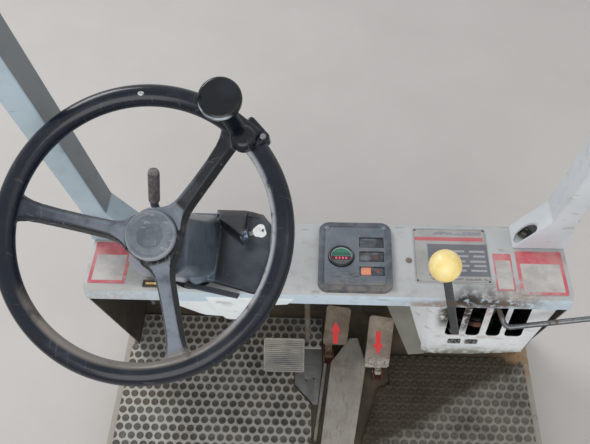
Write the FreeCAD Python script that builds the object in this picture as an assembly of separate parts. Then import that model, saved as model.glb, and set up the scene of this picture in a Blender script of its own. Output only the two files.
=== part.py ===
"""Driver's station of a counterbalance lift truck: pan, footwell, cowl, steering, pedals, levers
and the two front legs of the overhead guard.

Millimetres.  X is to the driver's right, Y is forward, Z is up.
The origin is the centre of the bolt pattern in the pan's bottom flanges.
"""
import FreeCAD, Part
import math
import os

V = FreeCAD.Vector
UP = V(0, 0, 1)

# Pan: a folded tray that the whole station is built on
PAN_HALF = 475.0
PAN_REAR = -310.0
PAN_FRONT = 430.0
PAN_TOP = 90.0
PAN_T = 4.0
PAN_FLANGE = 42.0
PAN_HOLE_R = 6.5
PAN_HOLE_X = PAN_HALF - 23.0
PAN_HOLE_Y = 250.0

# Rubber mats on the pan
MAT_T = 10.0
MAT_MARGIN = 15.0
MAT_REAR = -300.0
MAT_FRONT = 396.0
MAT_GAP = 1.5

# Footwell walls: both lean, so the footwell is wider and further forward at the floor
WALL_T = 3.0
FLARE = 46.0
SIDE_REAR_FOOT = 319.0
FRONT_FOOT = 427.0
FRONT_BEND_Z = 400.0
FIT = 0.3

# Cowl: one folded sheet across the station
COWL_HALF = PAN_HALF - 70.0
COWL_NEAR = 110.0
COWL_FAR = 265.0
COWL_TOP = 635.0
COWL_T = 3.0
COWL_LIP = 32.0
COWL_BACK = 70.0
COWL_BEND = 12.0

# Steering column: its axis leans back from the vertical towards the driver
WHEEL_X = -222.0
WHEEL_Y = -18.0
WHEEL_Z = 955.0
WHEEL = V(WHEEL_X, WHEEL_Y, WHEEL_Z)
COLUMN_LEAN = 30.0
RIM_R = 172.0
RIM_TUBE_R = 14.0
RIM_SIDES = 10
RIM_STEPS = 48
HUB_R = 33.0
HUB_DROP = 44.0
HUB_H = 34.0
SPOKE_W = 24.0
SPOKE_T = 15.0
SPOKE_FLARE = 10.0
SPOKE_ANGLES = (50.0, 170.0, 290.0)
SHAFT_R = 11.0
SHAFT_FIT = 0.06
JACKET_R = 24.0
JACKET_T = 3.0
JACKET_TOP_DROP = 92.0
JACKET_END_DROP = 450.0
UNIT_R = 40.0
UNIT_H = 70.0

# Apron under the cowl, in front of the column
SHROUD_LEFT = 66.0
SHROUD_RIGHT = 142.0
SHROUD_SHORT = 35.0
SHROUD_LONG = 95.0
SHROUD_T = 3.0
SHROUD_DEPTH = 52.0

# Column cover
COVER_X = (-302.0, -92.0)
COVER_Y = (116.0, 264.0)
COVER_T = 2.5
COVER_TRAY_H = 14.0
HUMP_X = (-288.0, -166.0)
HUMP_Y = (126.0, 262.0)
HUMP_CORNER = 24.0
POD_X = (-172.0, -138.0)
POD_NEAR = 186.0
POD_SLOPE = 22.0
POD_H = 34.0
KEY_OUT = V(0.93, 0.05, 0.36).normalize()
KEY_SIDE = KEY_OUT.cross(V(-0.23, -0.68, 0.70)).normalize()
LOCK_R = 10.0
LOCK_OUT = 8.0
BOW_R = 12.0
BOW_OUT = 28.0
COLLAR_R = 50.0
COLLAR_DROP = 96.0

# Hand lever beside the column, through a round hole in the cover
COLUMN_LEVER_PIVOT = V(-262.0, 172.0, 725.0)
COLUMN_LEVER_KNEE = V(-267.0, 169.0, 785.0)
COLUMN_LEVER_TIP = V(-254.0, 165.0, 865.0)
COLUMN_LEVER_ROD_R = 6.5
COLUMN_LEVER_GRIP_R = 9.0
LEVER_HOLE_R = 17.0

# Spinner on the rim
SPIN_ANGLE = 55.5
SPIN_R = 175.0
KNOB_R = 26.0
KNOB_FOOT_R = 13.0
KNOB_H = 46.0
KNOB_EDGE = 6.0
KNOB_PIN_R = 5.0
CLAMP_ANGLE = 42.5
CLAMP_HALF = 19.0
CLAMP_IN = RIM_R - 9.0
CLAMP_OUT = RIM_R + RIM_TUBE_R + 8.0
CLAMP_BOSS_R = 16.0
CLAMP_BOSS_IN = 7.0
JAW_H = 18.0
CLAMP_ARM_W = 20.0
CLAMP_ARM_LOW = 22.0
CLAMP_TOP = 34.0

# Control levers behind the slotted box
LEVER_X = (224.0, 259.5, 295.0, 330.5)
SLOT_W = (24.0, 24.0, 24.0, 30.0)
SLOT_LOW = 505.0
SLOT_TOP = 604.0
BOX_TOP_X = (126.0, 398.0)
BOX_LOW_X = (186.0, 363.0)
BOX_LOW = (430.0, 457.0)
BOX_DEPTH = 250.0
BOX_T = 3.0
BOX_FACE = 113.3
BOX_UNDERCUT = 5.0
BOX_ROUND = 52.0
BOX_CORNERS = (30.0, 12.0)
BOX_BEVEL = (66.0, 42.0)
PIVOT_Y = 172.0
PIVOT_Z = 466.0
PIVOT_R = 6.0
PIVOT_FIT = 0.06
LEVER_HUB_R = 13.0
BRACKET_OVER = 12.0
LEVER_W = 13.0
LEVER_T = 8.0
BALL_R = 24.0
BALL_BANDS = 8
TURNED_SIDES = 24
BAR_SIDES = 12
BENT_KNOB_R = 17.0
BENT_R = 4.5

# Instrument panel, plates
PANEL_X = (-12.0, 112.0)
PANEL_Y = (115.0, 255.0)
PANEL_H = 10.0
PANEL_ROUND = 7.0
GAUGE_AT = (26.0, 183.5)
GAUGE_R = 22.0
WINDOWS = (
    # name, x0, x1, y0, y1
    ("lamp_far", 57.0, 99.0, 200.0, 223.0),
    ("lamp_mid", 57.0, 99.0, 170.0, 193.0),
    ("lamp_near", 57.0, 99.0, 142.0, 161.0),
)
PLATE_X = (150.0, 276.0)
PLATE_Y = (136.0, 251.0)
PLATE_T = 1.0

# Pedals
BRAKE_AT = (-89.0, 236.0, 200.0)
BRAKE_W = 90.0
BRAKE_L = 75.0
BRAKE_SLOPE = 40.0
BRAKE_T = 10.0
PAD_RIM = 6.0
PAD_GROOVES = 9
PAD_GROOVE_D = 2.0
BRAKE_PIVOT = (246.0, 508.0)
BRAKE_ARM_X = -38.0
BRAKE_ARM_R = 6.5
TREADLE_W = 55.0
TREADLE_SLOPE = 56.0
TREADLE_T = 4.0
TREADLE_SIDE = 14.0
TREADLE_RAISE = 8.0
TREADLE_SKEW = (-2.0, 3.0)
TREADLE_ROUND = 7.0
TREADLES = (
    # name, x, heel's x, hinge y, plate from, plate to
    ("forward", 27.0, 9.0, 285.0, 31.0, 128.0),
    ("reverse", 122.0, 122.0, 246.0, 15.0, 142.0),
)
TREADLE_Z = 118.0
HEEL_HALF = 9.0
HEEL_FIT = 0.3
LUG_T = 4.0
HINGE_PIN_R = 4.0
HINGE_FIT = 0.06

# Heel ramp between the mats
RAMP_Z = (108.0, 130.0)
RAMP_Y = (-120.0, 326.0)
RAMP_T = 2.5
RAMP_OUTLINE = (
    (-23.0, RAMP_Y[0]), (37.0, RAMP_Y[0]), (95.0, 260.0), (77.0, RAMP_Y[1]), (58.0, RAMP_Y[1]), (15.0, 263.0),
)
RAMP_CENTRE = (45.0, 120.0)
EDGE_ROD = (V(2.5, 272.0, PAN_TOP + 8.2), V(-17.0, 88.0, PAN_TOP + 4.2))
EDGE_ROD_R = 3.8

# Overhead guard front legs
LEG_X = (370.0, 410.0)
LEG_NEAR = 211.0
LEG_DEPTH = 50.0
LEG_T = 3.0
LEG_LEAN = 16.4
LEG_TOP = 1700.0
FOOT_IN = 317.0
FOOT_H = 73.0
LEG_HOLE_R = 5.5
FOOT_BOLT = (26.0, 30.0)
FOOT_WINDOW = (20.0, 13.0)
FOOT_WINDOW_R = 15.5


def box(x, y, z):
    return Part.makeBox(x[1] - x[0], y[1] - y[0], z[1] - z[0], V(x[0], y[0], z[0]))


def cylinder(start, end, radius):
    return Part.makeCylinder(radius, (end - start).Length, start, end - start)


def prism(corners, axis, low, high):
    """Closed outline of 2-D corners, pushed from low to high along axis X, Y or Z."""
    place = {
        "X": lambda a, b: V(low, a, b),
        "Y": lambda a, b: V(a, low, b),
        "Z": lambda a, b: V(a, b, low),
    }[axis]
    push = {"X": V(1, 0, 0), "Y": V(0, 1, 0), "Z": V(0, 0, 1)}[axis]
    points = [place(a, b) for a, b in corners]
    face = Part.Face(Part.makePolygon(points + points[:1]))
    return face.extrude(push * (high - low))


def rounded(corners, radii):
    """2-D corners with each corner replaced by the points of its arc."""
    out = []
    count = len(corners)
    for i, (corner, radius) in enumerate(zip(corners, radii)):
        if radius <= 0:
            out.append(corner)
            continue
        before = V(*corners[i - 1], 0) - V(*corner, 0)
        after = V(*corners[(i + 1) % count], 0) - V(*corner, 0)
        before.normalize()
        after.normalize()
        half = before.getAngle(after) / 2
        reach = radius / math.tan(half)
        middle = (before + after).normalize() * (radius / math.sin(half)) + V(*corner, 0)
        start = V(*corner, 0) + before * reach - middle
        end = V(*corner, 0) + after * reach - middle
        turn = start.getAngle(end)
        steps = max(2, int(math.degrees(turn) / 15))
        side = math.copysign(1.0, start.cross(end).z)
        for k in range(steps + 1):
            angle = side * turn * k / steps
            x = start.x * math.cos(angle) - start.y * math.sin(angle) + middle.x
            y = start.x * math.sin(angle) + start.y * math.cos(angle) + middle.y
            out.append((x, y))
    return out


def bar(start, end, width, thick, side):
    """Flat bar between two points; side is the direction of its width."""
    along = (end - start).normalize()
    across = (side - along * side.dot(along)).normalize()
    up = along.cross(across)
    corners = [
        start + across * (width / 2 * a) + up * (thick / 2 * b)
        for a, b in ((-1, -1), (1, -1), (1, 1), (-1, 1))
    ]
    face = Part.Face(Part.makePolygon(corners + corners[:1]))
    return face.extrude(end - start)


def skin(polygons):
    """Solid bounded by flat polygons."""
    faces = [Part.Face(Part.makePolygon(points + points[:1])) for points in polygons]
    solid = Part.Solid(Part.Shell(faces))
    if solid.Volume < 0:
        solid.reverse()
    return solid


def bridged(rings):
    """Solid through rings of points, with as many points in each."""
    polygons = [rings[0], rings[-1]]
    count = len(rings[0])
    for low, high in zip(rings, rings[1:]):
        for i in range(count):
            j = (i + 1) % count
            polygons.append([low[i], low[j], high[j]])
            polygons.append([low[i], high[j], high[i]])
    return skin(polygons)


def tube(points, radius):
    """Flat-sided bar through points, mitred at each bend."""
    along = (points[1] - points[0]).normalize()
    side = along.cross(V(1, 0, 0)).normalize()
    across = along.cross(side)
    turns = [math.radians(360 * k / BAR_SIDES) for k in range(BAR_SIDES)]
    ring = [points[0] + (side * math.cos(turn) + across * math.sin(turn)) * radius for turn in turns]
    rings = [ring]
    for i in range(1, len(points)):
        ahead = (points[i + 1] - points[i]).normalize() if i + 1 < len(points) else along
        mitre = along + ahead
        ring = [p + along * ((points[i] - p).dot(mitre) / along.dot(mitre)) for p in ring]
        rings.append(ring)
        along = ahead
    return bridged(rings)


def turned(profile, place, sides=TURNED_SIDES):
    """Closed profile of (radius, height) turned about Z in flat sides, then set on place."""
    polygons = []
    for (r0, h0), (r1, h1) in zip(profile, profile[1:] + profile[:1]):
        if r0 == 0 and r1 == 0:
            continue
        for k in range(sides):
            a = polar(360 * k / sides, 1)
            b = polar(360 * (k + 1) / sides, 1)
            low, high = UP * h0, UP * h1
            corners = [low + a * r0, low + b * r0, high + b * r1, high + a * r1]
            if r0 == 0:
                corners.pop(0)
            if r1 == 0:
                corners.pop()
            polygons.append(corners)
    solid = skin(polygons).removeSplitter()
    solid.Placement = place
    return solid


def lean(angle):
    """Unit vector that leans back from the vertical by angle, in degrees."""
    return V(0, -math.sin(math.radians(angle)), math.cos(math.radians(angle)))


AXIS = lean(COLUMN_LEAN)
WHEEL_PLACE = FreeCAD.Placement(WHEEL, FreeCAD.Rotation(V(1, 0, 0), COLUMN_LEAN))


def on_axis(drop):
    return WHEEL - AXIS * drop


def on_wheel(angle, radius, height):
    """Point at an angle and radius on the wheel, height above the rim's plane."""
    a = math.radians(angle)
    return WHEEL_PLACE.multVec(V(radius * math.cos(a), radius * math.sin(a), height))


def polar(angle, radius):
    a = math.radians(angle)
    return V(radius * math.cos(a), radius * math.sin(a), 0)


def side_x(z):
    """Outer face of a side wall at height z."""
    fall = (COWL_TOP - COWL_T - z) / (COWL_TOP - COWL_T - PAN_TOP)
    return COWL_HALF - COWL_T + FLARE * fall


def mirrored(shape):
    return shape.mirror(V(0, 0, 0), V(1, 0, 0))


def floor_pan():
    x = (-PAN_HALF, PAN_HALF)
    y = (PAN_REAR, PAN_FRONT)
    solid = box(x, y, (0, PAN_TOP))
    inner_x = (x[0] + PAN_T, x[1] - PAN_T)
    inner_y = (y[0] + PAN_T, y[1] - PAN_T)
    solid = solid.cut(box(inner_x, inner_y, (PAN_T, PAN_TOP - PAN_T)))
    mouth = (inner_x[0] + PAN_FLANGE, inner_x[1] - PAN_FLANGE)
    solid = solid.cut(box(mouth, inner_y, (-1, PAN_T + 1)))
    for sx in (-1, 1):
        for sy in (-1, 1):
            start = V(sx * PAN_HOLE_X, sy * PAN_HOLE_Y, -1)
            solid = solid.cut(cylinder(start, start + V(0, 0, PAN_T + 2), PAN_HOLE_R))
    return solid


MAT_OUT = PAN_HALF - MAT_MARGIN
INSET_X = (-68.0, -6.0)
INSET_Y = (176.0, 312.0)
INSET_FAR = (INSET_X[1], INSET_Y[1])


def mat_left():
    """Mat under the left foot, notched round the bare plate and the side wall."""
    wall = side_x(PAN_TOP) - WALL_T - MAT_GAP
    outline = [
        (-MAT_OUT, MAT_REAR), (-34, MAT_REAR), (-25, 76), (-28, 170), (INSET_X[0] - MAT_GAP, 215),
        (INSET_X[0] - MAT_GAP, INSET_Y[1] + MAT_GAP), (-8, INSET_Y[1] + MAT_GAP),
        (-8, MAT_FRONT), (-wall, MAT_FRONT), (-wall, SIDE_REAR_FOOT - 6),
        (-MAT_OUT, SIDE_REAR_FOOT - 6),
    ]
    return prism(outline, "Z", PAN_TOP, PAN_TOP + MAT_T)


def mat_right():
    """Mat under the right foot, cut away at the reverse pedal's hinge and the far corner."""
    outline = [
        (84, MAT_REAR), (MAT_OUT, MAT_REAR), (MAT_OUT, 283), (420, 283), (420, 298),
        (150, 298), (150, 224), (123, 214), (84, 79),
    ]
    return prism(outline, "Z", PAN_TOP, PAN_TOP + MAT_T)


def inset_plate():
    outline = [
        (INSET_X[0], 220), (-24, 172), (-13, 172), (INSET_X[1], 262), INSET_FAR,
        (INSET_X[0], INSET_Y[1]),
    ]
    return prism(outline, "Z", PAN_TOP, PAN_TOP + 4)


def heel_ramp():
    """Folded cover, pointed at its far end and falling towards the heel."""
    inner = []
    for x, y in RAMP_OUTLINE:
        move_x = math.copysign(RAMP_T, RAMP_CENTRE[0] - x)
        move_y = math.copysign(RAMP_T, RAMP_CENTRE[1] - y)
        inner.append((x + move_x, y + move_y))
    outer_solid = prism(RAMP_OUTLINE, "Z", PAN_TOP, RAMP_Z[1] + 20)
    inner_solid = prism(inner, "Z", PAN_TOP - 1, RAMP_Z[1] + 20)

    def below(drop):
        top = [
            (RAMP_Y[0] - 10, PAN_TOP - 5), (RAMP_Y[1] + 10, PAN_TOP - 5),
            (RAMP_Y[1] + 10, RAMP_Z[1] - drop), (RAMP_Y[0] - 10, RAMP_Z[0] - drop),
        ]
        return prism(top, "X", -PAN_HALF, PAN_HALF)

    return outer_solid.common(below(0)).cut(inner_solid.common(below(RAMP_T)))


def edge_rod():
    """Bright rod that lies along the ramp's left side."""
    return cylinder(*EDGE_ROD, EDGE_ROD_R)


def side_wall(sign):
    """Flat plate whose rear edge leans forward as it goes down."""
    near = COWL_NEAR + COWL_T + FIT
    far = COWL_FAR - COWL_T - FIT
    top = COWL_TOP - COWL_T - FIT
    corners = [
        (near + COWL_BEND, top), (near, top - COWL_BEND), (near, COWL_TOP - COWL_LIP),
        (SIDE_REAR_FOOT, PAN_TOP + FIT), (FRONT_FOOT, PAN_TOP + FIT), (FRONT_FOOT, FRONT_BEND_Z),
        (far, COWL_TOP - COWL_BACK - 5), (far, top - COWL_BEND), (far - COWL_BEND, top),
    ]
    points = [V(side_x(z), y, z) for y, z in corners]
    face = Part.Face(Part.makePolygon(points + points[:1]))
    solid = face.extrude(V(-WALL_T, 0, 0))
    return solid if sign > 0 else mirrored(solid)


def front_wall():
    """Folded plate between the side walls: up from the pan, back to the cowl's far flange."""
    foot = FRONT_FOOT
    far = COWL_FAR - COWL_T - FIT
    tongue = COWL_TOP - COWL_T - COWL_BEND
    turn_z = COWL_TOP - COWL_BACK - 5
    cut_in = WALL_T * math.tan(math.radians(22.5))
    outline = [
        (foot, PAN_TOP + FIT), (foot, FRONT_BEND_Z), (far, turn_z), (far, tongue),
        (far - WALL_T, tongue), (far - WALL_T, turn_z - cut_in),
        (foot - WALL_T, FRONT_BEND_Z - cut_in), (foot - WALL_T, PAN_TOP + FIT),
    ]
    plate = prism(outline, "X", -PAN_HALF, PAN_HALF)
    low_x = side_x(PAN_TOP) - WALL_T - FIT
    top_x = side_x(COWL_TOP) - WALL_T - FIT
    between = [(-low_x, PAN_TOP), (low_x, PAN_TOP), (top_x, COWL_TOP), (-top_x, COWL_TOP)]
    return plate.common(prism(between, "Y", 0, 2 * PAN_HALF))


def cowl():
    """Folded sheet: near lip, top, far flange; holes for the column and the panel."""
    outer = [
        (COWL_NEAR, COWL_TOP - COWL_LIP), (COWL_NEAR, COWL_TOP),
        (COWL_FAR, COWL_TOP), (COWL_FAR, COWL_TOP - COWL_BACK),
    ]
    inner = [
        (COWL_FAR - COWL_T, COWL_TOP - COWL_BACK), (COWL_FAR - COWL_T, COWL_TOP - COWL_T),
        (COWL_NEAR + COWL_T, COWL_TOP - COWL_T), (COWL_NEAR + COWL_T, COWL_TOP - COWL_LIP),
    ]
    bend_in = COWL_BEND - COWL_T
    radii = [0, COWL_BEND, COWL_BEND, 0, 0, bend_in, bend_in, 0]
    solid = prism(rounded(outer + inner, radii), "X", -COWL_HALF, COWL_HALF)
    solid = solid.cut(cylinder(on_axis(250), on_axis(500), 46))
    solid = solid.cut(box((2, 98), (132, 240), (COWL_TOP - 20, COWL_TOP + 5)))
    return solid


def column_jacket():
    """Tube round the steering shaft, with the flange that bolts to the steering unit."""
    top = on_axis(JACKET_TOP_DROP)
    end = on_axis(JACKET_END_DROP)
    tube = cylinder(top, end, JACKET_R)
    flange = cylinder(on_axis(JACKET_END_DROP - 10), end, UNIT_R)
    bore = cylinder(on_axis(JACKET_TOP_DROP - 5), on_axis(JACKET_END_DROP + 5), JACKET_R - JACKET_T)
    bearing = cylinder(top, on_axis(JACKET_TOP_DROP + 18), JACKET_R - JACKET_T)
    hole = cylinder(on_axis(JACKET_TOP_DROP - 5), on_axis(JACKET_TOP_DROP + 25), SHAFT_R + SHAFT_FIT)
    return tube.fuse(flange).cut(bore).fuse(bearing.cut(hole))


def column_bracket():
    """Plate under the cowl that carries the column, with a hole for the jacket."""
    z = COWL_TOP - COWL_T - FIT
    plate = box((-300, -140), (COWL_NEAR + 12, COWL_FAR - 12), (z - 6, z))
    ear_low = z - 60
    for x in (-300, -146):
        plate = plate.fuse(box((x, x + 6), (COWL_NEAR + 12, COWL_FAR - 12), (ear_low, z)))
    return plate.cut(cylinder(on_axis(250), on_axis(560), JACKET_R + 0.2))


def steering_unit():
    """Hydraulic steering unit under the column: round body and its port block."""
    start = on_axis(JACKET_END_DROP + 0.2)
    end = on_axis(JACKET_END_DROP + UNIT_H)
    body = cylinder(start, end, UNIT_R)
    block = Part.makeBox(80, 80, 26, V(-40, -40, 0))
    block.Placement = FreeCAD.Placement(end, FreeCAD.Rotation(V(1, 0, 0), COLUMN_LEAN))
    solid = body.fuse(block)
    bore = cylinder(on_axis(JACKET_END_DROP - 5), on_axis(JACKET_END_DROP + 30), SHAFT_R + 1)
    return solid.cut(bore)


def section(centre, up, half_w, half_h, cut):
    """Eight points: a rectangle with its corners cut."""
    w = half_w
    h = half_h
    corners = [
        (w, cut - h), (w, h - cut), (w - cut, h), (cut - w, h),
        (-w, h - cut), (-w, cut - h), (cut - w, -h), (w - cut, -h),
    ]
    return [centre + V(1, 0, 0) * a + up * b for a, b in corners]


def column_cover():
    """Moulded cover: flat tray on the cowl, hump round the column, key pod at the right."""
    base_z = COWL_TOP + FIT
    outline = [
        (COVER_X[0], COVER_Y[0] + 17), (-235, COVER_Y[0] + 6), (COVER_X[1], COVER_Y[0] - 6),
        (COVER_X[1], COVER_Y[1] - 16), (COVER_X[1] - 18, COVER_Y[1] + 3), (COVER_X[0], COVER_Y[1] + 3),
    ]
    inside = [
        (COVER_X[0] + 3, COVER_Y[0] + 20), (-235, COVER_Y[0] + 9), (COVER_X[1] - 3, COVER_Y[0] - 2.5),
        (COVER_X[1] - 3, COVER_Y[1] - 18), (COVER_X[1] - 19, COVER_Y[1]), (COVER_X[0] + 3, COVER_Y[1]),
    ]
    tray = prism(outline, "Z", base_z, base_z + COVER_TRAY_H)
    tray = tray.cut(prism(inside, "Z", base_z - 1, base_z + COVER_TRAY_H - COVER_T))

    def hump(shrink):
        low_z = base_z + COVER_TRAY_H - COVER_T - (1 if shrink else 0)
        centre = V(sum(HUMP_X) / 2, sum(HUMP_Y) / 2, low_z)
        half_w = (HUMP_X[1] - HUMP_X[0]) / 2 - shrink
        half_h = (HUMP_Y[1] - HUMP_Y[0]) / 2 - shrink
        low = section(centre, V(0, 1, 0), half_w, half_h, HUMP_CORNER)
        radius = COLLAR_R - shrink
        top_drop = COLLAR_DROP - (0.5 if shrink else 0)
        high = section(on_axis(top_drop), AXIS.cross(V(1, 0, 0)), radius, radius, radius * 0.586)
        return bridged([low, high])

    pod_low = base_z + COVER_TRAY_H - 1
    pod_top = base_z + COVER_TRAY_H + POD_H
    pod_side = [
        (POD_NEAR, pod_low), (COVER_Y[1], pod_low), (COVER_Y[1], pod_top), (POD_NEAR + POD_SLOPE, pod_top),
    ]
    pod = prism(pod_side, "X", *POD_X)
    lever_hole = cylinder(COLUMN_LEVER_PIVOT, COLUMN_LEVER_TIP, LEVER_HOLE_R)
    jacket_hole = cylinder(on_axis(COLLAR_DROP - 20), on_axis(JACKET_END_DROP), JACKET_R + 1)
    return tray.fuse(hump(0)).fuse(pod).cut(hump(COVER_T)).cut(lever_hole).cut(jacket_hole)


def key_at(distance):
    """Point on the ignition lock's axis, which stands out of the pod's right face."""
    face = V(POD_X[1], POD_NEAR + POD_SLOPE - 2, COWL_TOP + FIT + COVER_TRAY_H + LOCK_R + 4.7)
    return face + KEY_OUT * distance


def key_lock():
    """Barrel of the lock, cut off flush at the pod's face."""
    inside = key_at(0)
    outside = box((inside.x + 0.1, inside.x + 60), (inside.y - 40, inside.y + 40), (inside.z - 40, inside.z + 40))
    return cylinder(key_at(-LOCK_R), key_at(LOCK_OUT), LOCK_R).common(outside)


def ignition_key():
    """Flat key: blade in the lock and a round bow."""
    half = KEY_SIDE.cross(KEY_OUT) * 1.5
    blade = bar(key_at(LOCK_OUT + 0.1), key_at(BOW_OUT - BOW_R + 2), 7, 2, KEY_SIDE)
    return blade.fuse(cylinder(key_at(BOW_OUT) - half, key_at(BOW_OUT) + half, BOW_R))


def rim_ring(radius):
    """Ring round the wheel's axis, turned from flat-sided bands."""
    profile = []
    for step in range(RIM_SIDES):
        angle = math.radians(360 * (step + 0.5) / RIM_SIDES)
        profile.append((RIM_R + radius * math.cos(angle), radius * math.sin(angle)))
    return turned(profile, FreeCAD.Placement(), RIM_STEPS)


def steering_wheel():
    """Rim, three dished spokes with webs where they meet the rim, and the hub."""
    rim = rim_ring(RIM_TUBE_R)
    low = -HUB_DROP - HUB_H
    hub = [(0, low), (HUB_R + 14, low), (HUB_R, low + 12), (HUB_R, -HUB_DROP), (0, -HUB_DROP)]
    wheel = rim.fuse(turned(hub, FreeCAD.Placement()))
    half = SPOKE_W / 2
    reach = RIM_R - RIM_TUBE_R + 4
    profile = [
        (0, -HUB_DROP), (HUB_R, -HUB_DROP), (reach, SPOKE_T / 2), (reach, -SPOKE_T / 2),
        (HUB_R + 6, -HUB_DROP - SPOKE_T), (0, -HUB_DROP - SPOKE_T),
    ]
    side = prism(profile, "Y", -60, 60)
    plan = [
        (0, -half - 4), (HUB_R, -half - 2), (reach - 34, -half + 2), (reach, -half - SPOKE_FLARE),
        (reach, half + SPOKE_FLARE), (reach - 34, half - 2), (HUB_R, half + 2), (0, half + 4),
    ]
    spoke = side.common(prism(plan, "Z", -200, 100))
    for angle in SPOKE_ANGLES:
        wheel = wheel.fuse(spoke.copy().rotate(V(0, 0, 0), V(0, 0, 1), angle))
    wheel = wheel.cut(Part.makeCylinder(SHAFT_R, 200, V(0, 0, low - 1)))
    wheel.Placement = WHEEL_PLACE
    return wheel


def steering_shaft():
    return cylinder(on_axis(HUB_DROP + 1), on_axis(JACKET_END_DROP + 20), SHAFT_R)


def hub_cap():
    """Pressed cap on the hub: a raised ring round a shallow dish."""
    r = HUB_R
    profile = [(0, 0.2), (r - 1, 0.2), (r - 1, 6), (r - 4, 9), (r - 8, 9), (r - 12, 6), (0, 6)]
    return turned(profile, FreeCAD.Placement(on_axis(HUB_DROP), WHEEL_PLACE.Rotation))


def spinner_clamp():
    """Jaws round the rim, a boss on them, and the arm and pin that carry the knob."""
    jaws = Part.makeBox(CLAMP_OUT - CLAMP_IN, 2 * CLAMP_HALF, 2 * JAW_H, V(CLAMP_IN, -CLAMP_HALF, -JAW_H))
    jaws.rotate(V(0, 0, 0), V(0, 0, 1), CLAMP_ANGLE)
    boss = polar(CLAMP_ANGLE, RIM_R - CLAMP_BOSS_IN)
    knob = polar(SPIN_ANGLE, SPIN_R)
    arm = bar(boss + UP * (CLAMP_ARM_LOW + 6), knob + UP * (CLAMP_ARM_LOW + 6), CLAMP_ARM_W, 12, boss.cross(UP))
    boss_low = SPOKE_T / 2 + 2
    stand = Part.makeCylinder(CLAMP_BOSS_R, CLAMP_TOP - boss_low, boss + UP * boss_low)
    local = jaws.fuse(stand).fuse(arm)
    seat_h = CLAMP_TOP - CLAMP_ARM_LOW
    local = local.fuse(Part.makeCylinder(CLAMP_ARM_W / 2, seat_h, knob + UP * CLAMP_ARM_LOW))
    local = local.fuse(Part.makeCylinder(KNOB_PIN_R, KNOB_H - 8, knob + UP * CLAMP_TOP))
    local = local.cut(rim_ring(RIM_TUBE_R + 0.1))
    local.Placement = WHEEL_PLACE
    return local


def spinner_knob():
    """Knob that widens upwards and turns on the clamp's pin."""
    bore = KNOB_PIN_R + PIVOT_FIT
    low = CLAMP_TOP + 0.5
    top = CLAMP_TOP + KNOB_H
    profile = [
        (bore, low), (KNOB_FOOT_R, low), (KNOB_FOOT_R + 3, low + 6), (KNOB_R, top - 2.2 * KNOB_EDGE),
        (KNOB_R, top - KNOB_EDGE), (KNOB_R - KNOB_EDGE, top), (0, top), (0, top - 7), (bore, top - 7),
    ]
    return turned(profile, FreeCAD.Placement(on_wheel(SPIN_ANGLE, SPIN_R, 0), WHEEL_PLACE.Rotation))


def column_lever():
    """Hand lever beside the column: hub on its pin, cranked rod, thicker grip."""
    half = V(4, 0, 0)
    start = COLUMN_LEVER_PIVOT
    grip = COLUMN_LEVER_KNEE + (COLUMN_LEVER_TIP - COLUMN_LEVER_KNEE) * 0.15
    solid = cylinder(start - half, start + half, 9)
    solid = solid.fuse(tube([start, COLUMN_LEVER_KNEE, COLUMN_LEVER_TIP], COLUMN_LEVER_ROD_R))
    solid = solid.fuse(tube([grip, COLUMN_LEVER_TIP], COLUMN_LEVER_GRIP_R))
    return solid.cut(cylinder(start - half * 3, start + half * 3, 4 + HINGE_FIT))


def lever_mount():
    """Clamp on the jacket with an arm and the pin that the column lever turns on."""
    pin = COLUMN_LEVER_PIVOT
    drop = (WHEEL.z - pin.z) / AXIS.z
    ring = cylinder(on_axis(drop - 10), on_axis(drop + 10), JACKET_R + 5)
    arm = bar(on_axis(drop) + V(-22, 22, 0), pin + V(9, 6, 0), 16, 5, V(0, 0, 1))
    solid = ring.fuse(arm).fuse(cylinder(pin + V(12, 0, 0), pin - V(7, 0, 0), 4))
    return solid.cut(cylinder(on_axis(drop - 60), on_axis(drop + 60), JACKET_R + 0.1))


def box_floor(x):
    """Height of the lever box's underside, which rises to the right."""
    share = (x - BOX_LOW_X[0]) / (BOX_LOW_X[1] - BOX_LOW_X[0])
    return BOX_LOW[0] + share * (BOX_LOW[1] - BOX_LOW[0])


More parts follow.
